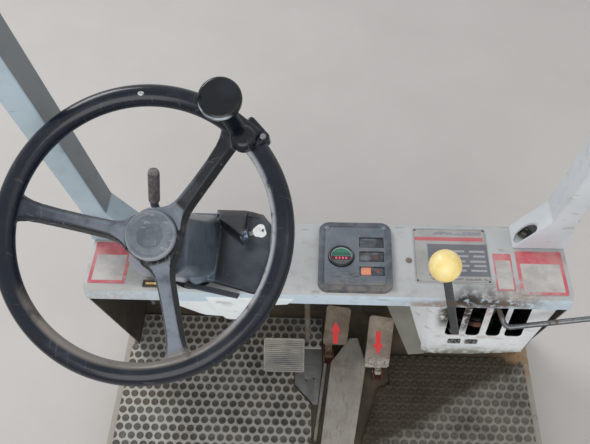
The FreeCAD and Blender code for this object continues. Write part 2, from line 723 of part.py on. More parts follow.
def lever_box():
    """Hollow moulded box under the lip: tapered in front view, rounded below, four lever slots."""
    top = COWL_TOP - COWL_T - FIT

    def body(m):
        low = BOX_LOW[0] + m
        face = BOX_FACE + m
        far = BOX_DEPTH + (5 if m else 0)
        brow = COWL_BEND + (1 if m else 0)
        side = [
            (face, top - brow), (face, COWL_TOP - COWL_LIP), (face + BOX_UNDERCUT, low), (far, low),
            (far, top + m), (face + brow, top + m),
        ]
        front = [
            (BOX_TOP_X[0] + m, top + m), (BOX_LOW_X[0] + m, BOX_LOW[0] + m),
            (BOX_LOW_X[1] - m, BOX_LOW[1] + m), (BOX_TOP_X[1] - m, top + m),
        ]
        shell = prism(rounded(side, [0, 0, BOX_ROUND - m, 0, 0, 0]), "X", BOX_TOP_X[0], BOX_TOP_X[1])
        radii = [0, BOX_CORNERS[0] - m, BOX_CORNERS[1] - m, 0]
        return shell.common(prism(rounded(front, radii), "Y", 0, BOX_DEPTH + 10))

    def outside_bevel(m):
        """Space beyond the bevel at the box's near left edge, moved inwards by m."""
        near = V(BOX_TOP_X[0] + BOX_BEVEL[0], BOX_FACE, 0)
        along = V(BOX_BEVEL[0], -BOX_BEVEL[1], 0).normalize()
        inward = V(BOX_BEVEL[1], BOX_BEVEL[0], 0).normalize()
        end = near + along * 60 + inward * m
        start = near - along * 160 + inward * m
        corners = [start, end, end - inward * 100, start - inward * 100]
        return prism([(p.x, p.y) for p in corners], "Z", BOX_LOW[0] - 10, COWL_TOP + 10)

    solid = body(0).cut(outside_bevel(0)).cut(body(BOX_T).cut(outside_bevel(BOX_T)))
    for x, width in zip(LEVER_X, SLOT_W):
        half = width / 2
        outline = [(x - half, SLOT_TOP), (x - half, SLOT_LOW), (x + half, SLOT_LOW), (x + half, SLOT_TOP)]
        solid = solid.cut(prism(rounded(outline, [0, 8, 8, 0]), "Y", BOX_FACE - 10, BOX_FACE + 22))
    return solid


def lever_bracket():
    """U-shaped carrier on the box's floor with the shaft that the three levers turn on."""
    x0 = LEVER_X[0] - BRACKET_OVER
    x1 = LEVER_X[2] + BRACKET_OVER
    y = PIVOT_Y
    rise = BOX_T + 0.5

    def seat(x, lift):
        return (x, box_floor(x) + rise + lift)

    solid = prism([seat(x0, 0), seat(x1, 0), seat(x1, 4), seat(x0, 4)], "Y", y + 15, y + 34)
    for x in (x0, x1 - 4):
        low = box_floor(x + 4) + rise
        cheek = [(y + 1, low), (y + 34, low), (y + 14, PIVOT_Z + 14), (y - 14, PIVOT_Z + 14), (y - 14, PIVOT_Z - 8)]
        solid = solid.fuse(prism(cheek, "X", x, x + 4))
    return solid.fuse(cylinder(V(x0, y, PIVOT_Z), V(x1, y, PIVOT_Z), PIVOT_R))


def lever_hub(x):
    return cylinder(V(x - LEVER_W / 2, PIVOT_Y, PIVOT_Z), V(x + LEVER_W / 2, PIVOT_Y, PIVOT_Z), LEVER_HUB_R)


def lever_bore(x):
    return cylinder(V(x - 40, PIVOT_Y, PIVOT_Z), V(x + 40, PIVOT_Y, PIVOT_Z), PIVOT_R + PIVOT_FIT)


LIFT_BEND = V(LEVER_X[0], 97.0, 545.0)
LIFT_BALL = V(LEVER_X[0] - 50.5, LIFT_BEND.y - 33.0, LIFT_BEND.z + 238.0)


def lift_lever():
    x = LEVER_X[0]
    low = bar(V(x, PIVOT_Y, PIVOT_Z), LIFT_BEND, LEVER_W, LEVER_T, V(1, 0, 0))
    up = bar(LIFT_BEND, LIFT_BALL, LEVER_W, LEVER_T, V(1, 0, 0))
    return lever_hub(x).fuse(low).fuse(up).cut(lever_bore(x)).cut(ball(LIFT_BALL, BALL_R))


def ball(centre, radius):
    """Ball turned from flat-sided bands."""
    profile = [(0, -radius)]
    for step in range(1, BALL_BANDS):
        angle = math.pi * step / BALL_BANDS
        profile.append((radius * math.sin(angle), -radius * math.cos(angle)))
    return turned(profile + [(0, radius)], FreeCAD.Placement(centre, FreeCAD.Rotation()))


def lift_ball():
    return ball(LIFT_BALL, BALL_R)


def lever_stub():
    x = LEVER_X[1]
    low = bar(V(x, PIVOT_Y, PIVOT_Z), V(x, 104, 560), LEVER_W, LEVER_T, V(1, 0, 0))
    return lever_hub(x).fuse(low).cut(lever_bore(x))


BENT_POINTS = (
    V(290.0, 128.0, 592.0), V(303.0, 92.0, 572.0), V(430.0, 85.0, 618.0), V(500.0, 82.0, 642.0),
)


def bent_lever():
    x = LEVER_X[2]
    low = bar(V(x, PIVOT_Y, PIVOT_Z), V(x - 4, 128, 594), LEVER_W, LEVER_T, V(1, 0, 0))
    return lever_hub(x).fuse(low).fuse(tube(BENT_POINTS, BENT_R)).cut(lever_bore(x))


def bent_knob():
    end = BENT_POINTS[-1]
    along = (end - BENT_POINTS[-2]).normalize()
    return ball(end + along * (BENT_KNOB_R + 0.1), BENT_KNOB_R)


def knee_shroud():
    """Pressed apron under the cowl, in front of the column's foot."""
    top = COWL_TOP - COWL_T - FIT - COWL_BEND
    short_z = COWL_TOP - SHROUD_SHORT
    long_z = COWL_TOP - SHROUD_LONG
    left = WHEEL_X - SHROUD_LEFT
    right = WHEEL_X + SHROUD_RIGHT
    near = COWL_NEAR + COWL_T + FIT

    def body(m, over):
        outline = [
            (left + m, top + over), (left + m, short_z), (WHEEL_X + 12, long_z + 9 + m),
            (right - 20 - m, long_z + m), (right - m, short_z), (right - m, top + over),
        ]
        return prism(rounded(outline, [0, 18, 40, 22, 22, 0]), "Y", near + m, near + SHROUD_DEPTH + over)

    return body(0, 0).cut(body(SHROUD_T, 5))


def instrument_bezel():
    x = PANEL_X
    y = PANEL_Y
    outline = rounded([(x[0], y[0]), (x[1], y[0]), (x[1], y[1]), (x[0], y[1])], [PANEL_ROUND] * 4)
    solid = prism(outline, "Z", COWL_TOP + FIT, COWL_TOP + PANEL_H)
    solid = solid.cut(cylinder(V(*GAUGE_AT, COWL_TOP), V(*GAUGE_AT, COWL_TOP + 20), GAUGE_R + 0.3))
    for _, x0, x1, y0, y1 in WINDOWS:
        solid = solid.cut(box((x0, x1), (y0, y1), (COWL_TOP + 4, COWL_TOP + 20)))
    return solid


def hour_gauge():
    profile = [(0, 0), (GAUGE_R, 0), (GAUGE_R, 13), (GAUGE_R - 4, 13), (GAUGE_R - 4, 10), (0, 10)]
    return turned(profile, FreeCAD.Placement(V(*GAUGE_AT, COWL_TOP + FIT), FreeCAD.Rotation()))


def lamp(x0, x1, y0, y1):
    m = 0.3
    return box((x0 + m, x1 - m), (y0 + m, y1 - m), (COWL_TOP + 4 + m, COWL_TOP + 9))


def data_plate():
    return box(PLATE_X, PLATE_Y, (COWL_TOP + 0.1, COWL_TOP + 0.1 + PLATE_T))


def panel_catch():
    """Framed turn catch at the cowl's near edge."""
    x = (-304.0, -269.0)
    y = (COWL_NEAR + 4, COWL_NEAR + 17)
    z = COWL_TOP + 0.1
    frame = box(x, y, (z, z + 4)).cut(box((x[0] + 2, x[1] - 2), (y[0] + 2, y[1] - 2), (z + 1.5, z + 5)))
    knob = cylinder(V(x[1] - 9, sum(y) / 2, z + 1), V(x[1] - 9, sum(y) / 2, z + 7), 3.5)
    return frame.fuse(knob)


def brake_pad():
    x, y, z = BRAKE_AT
    solid = Part.makeBox(BRAKE_W, BRAKE_L, BRAKE_T, V(-BRAKE_W / 2, -BRAKE_L / 2, -BRAKE_T))
    pitch = (BRAKE_L - 2 * PAD_RIM) / PAD_GROOVES
    for k in range(PAD_GROOVES):
        start = V(PAD_RIM - BRAKE_W / 2, PAD_RIM - BRAKE_L / 2 + pitch * (k + 0.25), -PAD_GROOVE_D)
        solid = solid.cut(Part.makeBox(BRAKE_W - 2 * PAD_RIM, pitch / 2, PAD_GROOVE_D + 1, start))
    solid.Placement = FreeCAD.Placement(V(x, y, z), FreeCAD.Rotation(V(1, 0, 0), BRAKE_SLOPE))
    return solid


def brake_arm():
    """Bent round bar from the pivot boss down to the back of the pad."""
    y, z = BRAKE_PIVOT
    pad = FreeCAD.Placement(V(*BRAKE_AT), FreeCAD.Rotation(V(1, 0, 0), BRAKE_SLOPE))
    back = BRAKE_T + BRAKE_ARM_R + 0.1
    points = [
        V(BRAKE_ARM_X, y, z), V(BRAKE_ARM_X, 292, 300), pad.multVec(V(BRAKE_ARM_X - BRAKE_AT[0], 34, -back)),
        pad.multVec(V(0, 10, -back)),
    ]
    solid = tube(points, BRAKE_ARM_R)
    boss = cylinder(V(BRAKE_ARM_X - 14, y, z), V(BRAKE_ARM_X + 14, y, z), 14)
    bore = cylinder(V(BRAKE_ARM_X - 30, y, z), V(BRAKE_ARM_X + 30, y, z), 6 + 0.06)
    return solid.fuse(boss).cut(bore)


def brake_bracket():
    """Two lugs under the cowl with the pin that the brake pedal hangs on."""
    y, z = BRAKE_PIVOT
    x0 = BRAKE_ARM_X - 24
    x1 = BRAKE_ARM_X + 24
    top = COWL_TOP - COWL_T - FIT
    inside = COWL_FAR - COWL_T - 5
    under = COWL_TOP - COWL_BACK - 8
    solid = cylinder(V(x0, y, z), V(x1, y, z), 6)
    lug = [
        (y - 14, z - 14), (y + 14, z - 14), (y + 14, z + 10), (inside, under),
        (inside, top - COWL_BEND), (inside - COWL_BEND, top), (inside - 60, top), (inside - 60, under),
    ]
    for x in (x0, x1 - 5):
        solid = solid.fuse(prism(lug, "X", x, x + 5))
    return solid.fuse(box((x0, x1), (inside - 60, inside - COWL_BEND), (top - 5, top)))


def treadle(x, heel_x, hinge_y, low, high):
    """Channel-shaped pedal on a narrow heel, with a hinge barrel and pin."""
    w = TREADLE_W / 2
    h = heel_x - x
    heel = HEEL_HALF - 1 - HEEL_FIT
    a, b = TREADLE_SKEW
    plate = rounded([(a - w, low), (a + w, low), (b + w, high), (b - w, high)], [TREADLE_ROUND] * 4)
    solid = prism(plate, "Z", TREADLE_RAISE, TREADLE_RAISE + TREADLE_T)
    solid = solid.fuse(box((h - heel, h + heel), (5, low + 10), (TREADLE_RAISE, TREADLE_RAISE + TREADLE_T)))
    for side in (-w, w - 3):
        under = TREADLE_RAISE + 1 - TREADLE_SIDE
        start = V(side + a, low + 10, under)
        end = V(side + b, high - 10, under)
        flange = bar(start + V(1.5, 0, TREADLE_SIDE / 2), end + V(1.5, 0, TREADLE_SIDE / 2), TREADLE_SIDE, 3, UP)
        solid = solid.fuse(flange)
    solid = solid.fuse(Part.makeCylinder(8, 2 * HEEL_HALF - 6, V(h - HEEL_HALF + 3, 0, 0), V(1, 0, 0)))
    solid = solid.fuse(box((h - heel, h + heel), (0, 16), (5, TREADLE_RAISE + TREADLE_T)))
    solid = solid.fuse(Part.makeCylinder(HINGE_PIN_R, 2 * HEEL_HALF + 8, V(h - HEEL_HALF - 4, 0, 0), V(1, 0, 0)))
    solid.Placement = FreeCAD.Placement(V(x, hinge_y, TREADLE_Z), FreeCAD.Rotation(V(1, 0, 0), TREADLE_SLOPE))
    return solid


def treadle_hinge(heel_x, hinge_y):
    """Base plate on the pan and two lugs beside the treadle's barrel."""
    z = PAN_TOP + 0.1
    out = HEEL_HALF + LUG_T - 1
    solid = box((heel_x - out, heel_x + out), (hinge_y - 9, hinge_y + 16), (z, z + 5))
    for side in (heel_x - out, heel_x + HEEL_HALF - 1):
        solid = solid.fuse(box((side, side + LUG_T), (hinge_y - 9, hinge_y + 9), (z, TREADLE_Z + 9)))
    pin = cylinder(V(heel_x - 50, hinge_y, TREADLE_Z), V(heel_x + 50, hinge_y, TREADLE_Z), HINGE_PIN_R + HINGE_FIT)
    return solid.cut(pin)


def guard_leg(sign):
    """Box-section leg on a wedge-shaped foot; closed by a drilled plate at the roof joint."""
    z0 = COWL_TOP + 0.1
    z1 = COWL_TOP + FOOT_H
    slope = math.tan(math.radians(LEG_LEAN))

    def foot(m):
        low = z0 + 1.3 * m
        outline = [
            (FOOT_IN + 2.5 * m, low), (LEG_X[0] + 0.5 * m, z1 - m), (LEG_X[1] - m, z1 - m), (LEG_X[1] - m, low),
        ]
        return prism(outline, "Y", LEG_NEAR + m, LEG_NEAR + LEG_DEPTH - m)

    def post(m):
        rise = LEG_TOP - z1
        low = z1 - (m + 1 if m else 0)
        drop = (z1 - low) * slope
        outline = [
            (LEG_NEAR + drop + m, low), (LEG_NEAR + LEG_DEPTH + drop - m, low),
            (LEG_NEAR + LEG_DEPTH - rise * slope - m, LEG_TOP - m),
            (LEG_NEAR - rise * slope + m, LEG_TOP - m),
        ]
        return prism(outline, "X", LEG_X[0] + m, LEG_X[1] - m)

    solid = foot(0).fuse(post(0)).cut(foot(LEG_T)).cut(post(LEG_T))
    if sign > 0:
        window = V(FOOT_IN + FOOT_WINDOW[0], LEG_NEAR + FOOT_WINDOW[1], z0 + 1.3 * LEG_T)
        behind = box((FOOT_IN, LEG_X[0]), (LEG_NEAR + LEG_T, LEG_NEAR + LEG_DEPTH), (z0, z1))
        solid = solid.cut(cylinder(window, window + UP * FOOT_H, FOOT_WINDOW_R).common(behind))
    bolt = V(FOOT_IN + FOOT_BOLT[0], LEG_NEAR + FOOT_BOLT[1], z0)
    solid = solid.cut(cylinder(bolt - UP, bolt + UP * 10, LEG_HOLE_R))
    back = (LEG_TOP - z1) * slope
    middle = LEG_NEAR + LEG_DEPTH / 2 - back
    centre_x = sum(LEG_X) / 2
    for dy in (-13, 13):
        start = V(centre_x, middle + dy, LEG_TOP - 10)
        solid = solid.cut(cylinder(start, start + V(0, 0, 20), LEG_HOLE_R))
    return solid if sign > 0 else mirrored(solid)


def nodes():
    """Every sub-part by name."""
    parts = {
        "floor_pan": floor_pan(),
        "mat_left": mat_left(),
        "mat_right": mat_right(),
        "inset_plate": inset_plate(),
        "heel_ramp": heel_ramp(),
        "edge_rod": edge_rod(),
        "side_wall_left": side_wall(-1),
        "side_wall_right": side_wall(1),
        "front_wall": front_wall(),
        "cowl": cowl(),
        "column_jacket": column_jacket(),
        "column_bracket": column_bracket(),
        "steering_unit": steering_unit(),
        "column_cover": column_cover(),
        "key_lock": key_lock(),
        "ignition_key": ignition_key(),
        "steering_wheel": steering_wheel(),
        "steering_shaft": steering_shaft(),
        "hub_cap": hub_cap(),
        "spinner_clamp": spinner_clamp(),
        "spinner_knob": spinner_knob(),
        "column_lever": column_lever(),
        "lever_mount": lever_mount(),
        "lever_box": lever_box(),
        "lever_bracket": lever_bracket(),
        "lift_lever": lift_lever(),
        "lift_ball": lift_ball(),
        "lever_stub": lever_stub(),
        "bent_lever": bent_lever(),
        "bent_knob": bent_knob(),
        "knee_shroud": knee_shroud(),
        "instrument_bezel": instrument_bezel(),
        "hour_gauge": hour_gauge(),
        "data_plate": data_plate(),
        "panel_catch": panel_catch(),
        "brake_pad": brake_pad(),
        "brake_arm": brake_arm(),
        "brake_bracket": brake_bracket(),
        "guard_leg_left": guard_leg(-1),
        "guard_leg_right": guard_leg(1),
    }
    for name, x0, x1, y0, y1 in WINDOWS:
        parts[name] = lamp(x0, x1, y0, y1)
    for name, x, heel_x, hinge_y, low, high in TREADLES:
        parts[name + "_pedal"] = treadle(x, heel_x, hinge_y, low, high)
        parts[name + "_hinge"] = treadle_hinge(heel_x, hinge_y)
    return parts


os.makedirs("parts", exist_ok=True)
for name, shape in nodes().items():
    solids = shape.Solids
    print(name, len(solids), "solid", "valid" if shape.isValid() else "NOT VALID", round(shape.Volume))
    shape.exportStep("parts/" + name + ".step")
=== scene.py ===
"""Looks of a lift truck's driver's station: metres, in the frame of its solids.

The helpers take millimetres, as the solids' drawing does.
X is to the driver's right, Y is forward, Z is up.
"""
import math

import bpy
from mathutils import Euler, Matrix, Vector


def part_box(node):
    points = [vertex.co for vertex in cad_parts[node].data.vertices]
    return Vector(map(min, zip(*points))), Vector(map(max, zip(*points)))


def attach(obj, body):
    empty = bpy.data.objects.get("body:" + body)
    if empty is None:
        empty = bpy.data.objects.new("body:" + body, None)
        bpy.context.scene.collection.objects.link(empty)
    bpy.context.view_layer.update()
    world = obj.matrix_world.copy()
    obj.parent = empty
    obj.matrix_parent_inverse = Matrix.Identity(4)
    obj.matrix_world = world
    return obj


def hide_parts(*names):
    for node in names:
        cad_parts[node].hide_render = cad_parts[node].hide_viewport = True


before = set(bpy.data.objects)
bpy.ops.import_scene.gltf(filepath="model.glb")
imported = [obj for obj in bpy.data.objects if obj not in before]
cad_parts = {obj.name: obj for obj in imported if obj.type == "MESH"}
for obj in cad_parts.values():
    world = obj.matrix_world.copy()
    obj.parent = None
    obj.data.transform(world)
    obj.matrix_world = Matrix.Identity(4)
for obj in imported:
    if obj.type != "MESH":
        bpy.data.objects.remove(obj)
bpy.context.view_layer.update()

# The camera, as it stood for the photograph
CAMERA_AT = (0.00554555, -0.57830001, 1.66622276)
CAMERA_TURN = (39.18597, 1.35667, 2.50631)
CAMERA_LENS = 45.763

# Strength of the surround as light, and as the camera sees it
SURROUND_LIGHT = 0.54
SURROUND_SEEN = 0.8

# Sizes of the solids, in millimetres
PAN_HALF = 475.0
PAN_TOP = 90.0
COWL_HALF = 405.0
COWL_NEAR = 110.0
COWL_FAR = 265.0
COWL_TOP = 635.0
COWL_T = 3.0
COWL_LIP = 32.0
COWL_BACK = 70.0
COWL_BEND = 12.0
WHEEL = Vector((-222.0, -18.0, 955.0))
COLUMN_LEAN = 30.0
RIM_R = 172.0
RIM_TUBE_R = 14.0
HUB_R = 33.0
HUB_DROP = 44.0
HUB_H = 34.0
SPOKE_ANGLES = (49.6, 170.4, 287.8)
SPIN_ANGLE = 55.5
SPIN_R = 175.0
CLAMP_ANGLE = 42.5
CLAMP_BOSS_R = RIM_R - 7.0
LEVER_X = (224.0, 259.5, 295.0, 330.5)
SLOT_W = (24.0, 24.0, 24.0, 30.0)
SLOT_Z = (505.0, 604.0)
BOX_FACE = 113.3
BALL_AT = Vector((173.5, 64.0, 783.0))
BALL_R = 24.0

BODY = "station"
RIGHT = (1, 0, 0)
AXIS = Vector((0, -math.sin(math.radians(COLUMN_LEAN)), math.cos(math.radians(COLUMN_LEAN))))
WHEEL_TURN = Matrix.Rotation(math.radians(COLUMN_LEAN), 4, "X")


def only(obj):
    """Selects one object and nothing else."""
    bpy.ops.object.select_all(action="DESELECT")
    obj.select_set(True)
    bpy.context.view_layer.objects.active = obj
    return obj


def added(name, primitive, **settings):
    """Adds a primitive with nothing else selected, and names it."""
    bpy.ops.object.select_all(action="DESELECT")
    primitive(**settings)
    obj = bpy.context.object
    obj.name = name
    obj.data.name = name
    return obj


def pick_by(kind):
    """Whether vertices, edges or faces are picked."""
    kinds = ("VERT", "EDGE", "FACE")
    bpy.context.tool_settings.mesh_select_mode = tuple(kind == each for each in kinds)


def edit(obj, kind="FACE"):
    """Edit mode with everything selected."""
    only(obj)
    pick_by(kind)
    bpy.ops.object.mode_set(mode="EDIT")
    bpy.ops.mesh.select_all(action="SELECT")


def done(obj):
    """Leaves edit mode."""
    bpy.ops.object.mode_set(mode="OBJECT")
    return obj


def drawn_out(way):
    """Extrudes what is picked, by millimetres along each axis."""
    bpy.ops.mesh.extrude_region_move(TRANSFORM_OT_translate={"value": Vector(way) / 1000})


def closed(obj):
    """Points all faces outwards and leaves edit mode."""
    bpy.ops.mesh.select_all(action="SELECT")
    bpy.ops.mesh.normals_make_consistent(inside=False)
    return done(obj)


def pick(obj, test, kind="FACE"):
    """Edit mode with the faces (middle, normal) or edges (middle, direction) that pass a test."""
    only(obj)
    pick_by(kind)
    mesh = obj.data
    for vertex in mesh.vertices:
        vertex.select = False
    for edge in mesh.edges:
        a = mesh.vertices[edge.vertices[0]].co
        b = mesh.vertices[edge.vertices[1]].co
        edge.select = kind == "EDGE" and test((a + b) * 500, (b - a).normalized())
    for face in mesh.polygons:
        face.select = kind == "FACE" and test(face.center * 1000, face.normal)
    bpy.ops.object.mode_set(mode="EDIT")


def settle(obj):
    """Puts the object's place into its mesh, so that the object sits at the origin."""
    only(obj)
    bpy.ops.object.transform_apply(location=True, rotation=True, scale=True)
    return obj


def outward(obj):
    """Merges doubles and points the faces outwards."""
    edit(obj, "VERT")
    bpy.ops.mesh.remove_doubles(threshold=0.00002)
    bpy.ops.mesh.normals_make_consistent(inside=False)
    return done(obj)


def modified(obj, kind, **settings):
    """Adds a modifier, sets it and applies it."""
    only(obj)
    item = obj.modifiers.new(kind.lower(), kind)
    for key, value in settings.items():
        setattr(item, key, value)
    bpy.ops.object.modifier_apply(modifier=item.name)
    return obj


def softened(obj, width, segments=2, angle=30):
    """Rounds the edges that are sharper than an angle."""
    return modified(obj, "BEVEL", width=width / 1000, segments=segments, limit_method="ANGLE",
                    angle_limit=math.radians(angle))


def smooth(obj, angle=35):
    only(obj)
    bpy.ops.object.shade_smooth_by_angle(angle=math.radians(angle))
    return obj


def joined(name, parts):
    """Joins pieces into one object."""
    bpy.ops.object.select_all(action="DESELECT")
    for part in parts:
        part.select_set(True)
    bpy.context.view_layer.objects.active = parts[0]
    bpy.ops.object.join()
    parts[0].name = name
    parts[0].data.name = name
    return parts[0]


def moulded(name, parts, voxel, rounds):
    """One skin over overlapping pieces, with their meeting lines blended."""
    obj = joined(name, parts)
    modified(obj, "REMESH", mode="VOXEL", voxel_size=voxel / 1000)
    modified(obj, "SMOOTH", factor=0.5, iterations=rounds)
    return smooth(obj, 60)


def cut(obj, cutter, operation="DIFFERENCE"):
    """Cuts, joins or intersects one piece with another, which is used up."""
    modified(obj, "BOOLEAN", operation=operation, object=cutter, solver="EXACT")
    bpy.data.objects.remove(cutter)
    return obj


def copied(obj, name, turn=None):
    """Copy with its own mesh, moved or turned in the mesh."""
    twin = obj.copy()
    twin.data = obj.data.copy()
    twin.name = name
    bpy.context.collection.objects.link(twin)
    if turn is not None:
        twin.data.transform(turn)
    return twin


def block(name, x, y, z):
    """Rectangular piece between two values on each axis."""
    low = Vector((x[0], y[0], z[0])) / 1000
    high = Vector((x[1], y[1], z[1])) / 1000
    return settle(added(name, bpy.ops.mesh.primitive_cube_add, size=1, location=(low + high) / 2,
                        scale=high - low))


def rectangle(x, y):
    """Corners between two values on each of two axes."""
    return [(x[0], y[0]), (x[1], y[0]), (x[1], y[1]), (x[0], y[1])]


def face_of(name, points):
    """One flat face through points."""
    obj = added(name, bpy.ops.mesh.primitive_circle_add, vertices=len(points), radius=1,
                fill_type="NGON")
    for vertex, point in zip(obj.data.vertices, points):
        vertex.co = Vector(point) / 1000
    return obj


def plate(name, outline, axis, low, high):
    """Outline of 2-D corners pushed from low to high along an axis."""
    place = {
        "X": lambda a, b: Vector((low, a, b)),
        "Y": lambda a, b: Vector((a, low, b)),
        "Z": lambda a, b: Vector((a, b, low)),
    }[axis]
    push = {"X": Vector((1, 0, 0)), "Y": Vector((0, 1, 0)), "Z": Vector((0, 0, 1))}[axis]
    obj = face_of(name, [place(a, b) for a, b in outline])
    edit(obj)
    drawn_out(push * (high - low))
    return closed(obj)


def rounded(outline, radii, steps=6):
    """2-D corners, each replaced by the points of its arc."""
    points = []
    count = len(outline)
    for i, (corner, radius) in enumerate(zip(outline, radii)):
        corner = Vector(corner)
        if radius <= 0:
            points.append(corner)
            continue
        before = (Vector(outline[i - 1]) - corner).normalized()
        after = (Vector(outline[(i + 1) % count]) - corner).normalized()
        half = before.angle(after) / 2
        middle = corner + (before + after).normalized() * (radius / math.sin(half))
        start = corner + before * (radius / math.tan(half)) - middle
        end = corner + after * (radius / math.tan(half)) - middle
        turn = start.angle(end)
        side = math.copysign(1.0, start.x * end.y - start.y * end.x)
        for k in range(steps + 1):
            angle = side * turn * k / steps
            x = start.x * math.cos(angle) - start.y * math.sin(angle)
            y = start.x * math.sin(angle) + start.y * math.cos(angle)
            points.append(middle + Vector((x, y)))
    return [tuple(point) for point in points]


def turned(name, steps, base=(0, 0, 0), along=(0, 0, 1), sides=40):
    """Round piece raised from a disc: each step is its (radius, height) above the base."""
    radius, height = steps[0]
    obj = settle(added(name, bpy.ops.mesh.primitive_circle_add, vertices=sides,
                       radius=radius / 1000, fill_type="NGON", location=(0, 0, height / 1000)))
    edit(obj)
    for wide, high in steps[1:]:
        drawn_out((0, 0, high - height))
        share = wide / radius
        bpy.ops.transform.resize(value=(share, share, 1), center_override=(0, 0, high / 1000))
        radius = wide
        height = high
    closed(obj)
    obj.rotation_euler = Vector((0, 0, 1)).rotation_difference(Vector(along)).to_euler()
    obj.location = Vector(base) / 1000
    return smooth(settle(obj), 40)


def arc_steps(radius, low, high, count):
    """Steps of a ball's profile between two heights above its centre."""
    steps = []
    for k in range(count + 1):
        start = math.asin(low / radius)
        end = math.asin(high / radius)
        angle = start + (end - start) * k / count
        steps.append((radius * math.cos(angle), radius * math.sin(angle)))
    return steps


def eased(points, radius, steps=6):
    """Route with an arc at each inner point."""
    points = [Vector(point) for point in points]
    out = [points[0]]
    for before, corner, after in zip(points, points[1:], points[2:]):
        a = (before - corner).normalized()
        b = (after - corner).normalized()
        half = a.angle(b) / 2
        reach = radius / math.tan(half)
        middle = corner + (a + b).normalized() * (radius / math.sin(half))
        start = corner + a * reach - middle
        end = corner + b * reach - middle
        for k in range(steps + 1):
            out.append(middle + start.slerp(end, k / steps).normalized() * radius)
    return out + [points[-1]]


def rod(name, points, radius):
    """Round bar along a route."""
    curve = bpy.data.curves.new(name, "CURVE")
    curve.dimensions = "3D"
    curve.bevel_depth = radius / 1000
    curve.bevel_resolution = 5
    curve.use_fill_caps = True
    spline = curve.splines.new("POLY")
    spline.points.add(len(points) - 1)
    for point, place in zip(spline.points, points):
        point.co = (*(Vector(place) / 1000), 1)
    obj = bpy.data.objects.new(name, curve)
    bpy.context.collection.objects.link(obj)
    only(obj)
    bpy.ops.object.convert(target="MESH")
    return smooth(outward(bpy.context.object), 50)


def bar(name, start, end, width, thick, side, round_r):
    """Flat bar between two points; side is the direction of its width."""
    start = Vector(start)
    end = Vector(end)
    along = (end - start).normalized()
    across = (Vector(side) - along * along.dot(Vector(side))).normalized()
    up = along.cross(across)
    obj = block(name, (-width / 2, width / 2), (-thick / 2, thick / 2), (0, (end - start).length))
    softened(obj, round_r, 3)
    turn = Matrix((across, -up, along)).transposed().to_4x4()
    obj.data.transform(Matrix.Translation(start / 1000) @ turn)
    return smooth(outward(obj))


def fitted(obj, finish, slot, body, *nodes):
    """Gives a piece its finish and its body, and hides the solids that it stands for; the slot is
    not used.
    """
    obj.data.materials.clear()
    obj.data.materials.append(finish)
    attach(obj, body)
    if nodes:
        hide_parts(*nodes)
    return obj


def repaint(node, finish):
    """Better finish on a solid that stays."""
    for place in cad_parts[node].material_slots:
        place.material = finish


def about_z(angle):
    """Turn about Z, in degrees."""
    return Matrix.Rotation(math.radians(angle), 4, "Z")


def on_axis(drop):
    """Point on the column's line, below the rim's plane."""
    return WHEEL - AXIS * drop


def on_wheel(angle, radius, height):
    """Point at an angle and radius on the wheel, height above the rim's plane."""
    a = math.radians(angle)
    return WHEEL + WHEEL_TURN @ Vector((radius * math.cos(a), radius * math.sin(a), height))


def onto_wheel(obj):
    """Moves a piece drawn round the origin onto the wheel's hub line."""
    obj.data.transform(Matrix.Translation(WHEEL / 1000) @ WHEEL_TURN)
    return obj


def ink(red, green, blue):
    """Linear colour of an 8-bit one."""
    def line(value):
        share = value / 255
        return share / 12.92 if share <= 0.04045 else ((share + 0.055) / 1.055) ** 2.4
    return (line(red), line(green), line(blue), 1.0)


class Wire:
    """A value in a finish; sums and products of it add Math nodes."""

    def __init__(self, finish, socket):
        self.finish = finish
        self.socket = socket

    def math(self, operation, first, second):
        node = self.finish.add("ShaderNodeMath", {"operation": operation}, {0: first, 1: second})
        return Wire(self.finish, node.outputs[0])

    def __add__(self, other):
        return self.math("ADD", self, other)

    def __radd__(self, other):
        return self.math("ADD", other, self)

    def __sub__(self, other):
        return self.math("SUBTRACT", self, other)

    def __rsub__(self, other):
        return self.math("SUBTRACT", other, self)

    def __mul__(self, other):
        return self.math("MULTIPLY", self, other)

    def __rmul__(self, other):
        return self.math("MULTIPLY", other, self)

    def most(self, other):
        return self.math("MAXIMUM", self, other)

    def between(self, low, high):
        """0 at low, 1 at high, smooth between them."""
        node = self.finish.add("ShaderNodeMapRange", {"interpolation_type": "SMOOTHSTEP"},
                               {"Value": self, "From Min": low, "From Max": high})
        return Wire(self.finish, node.outputs["Result"])


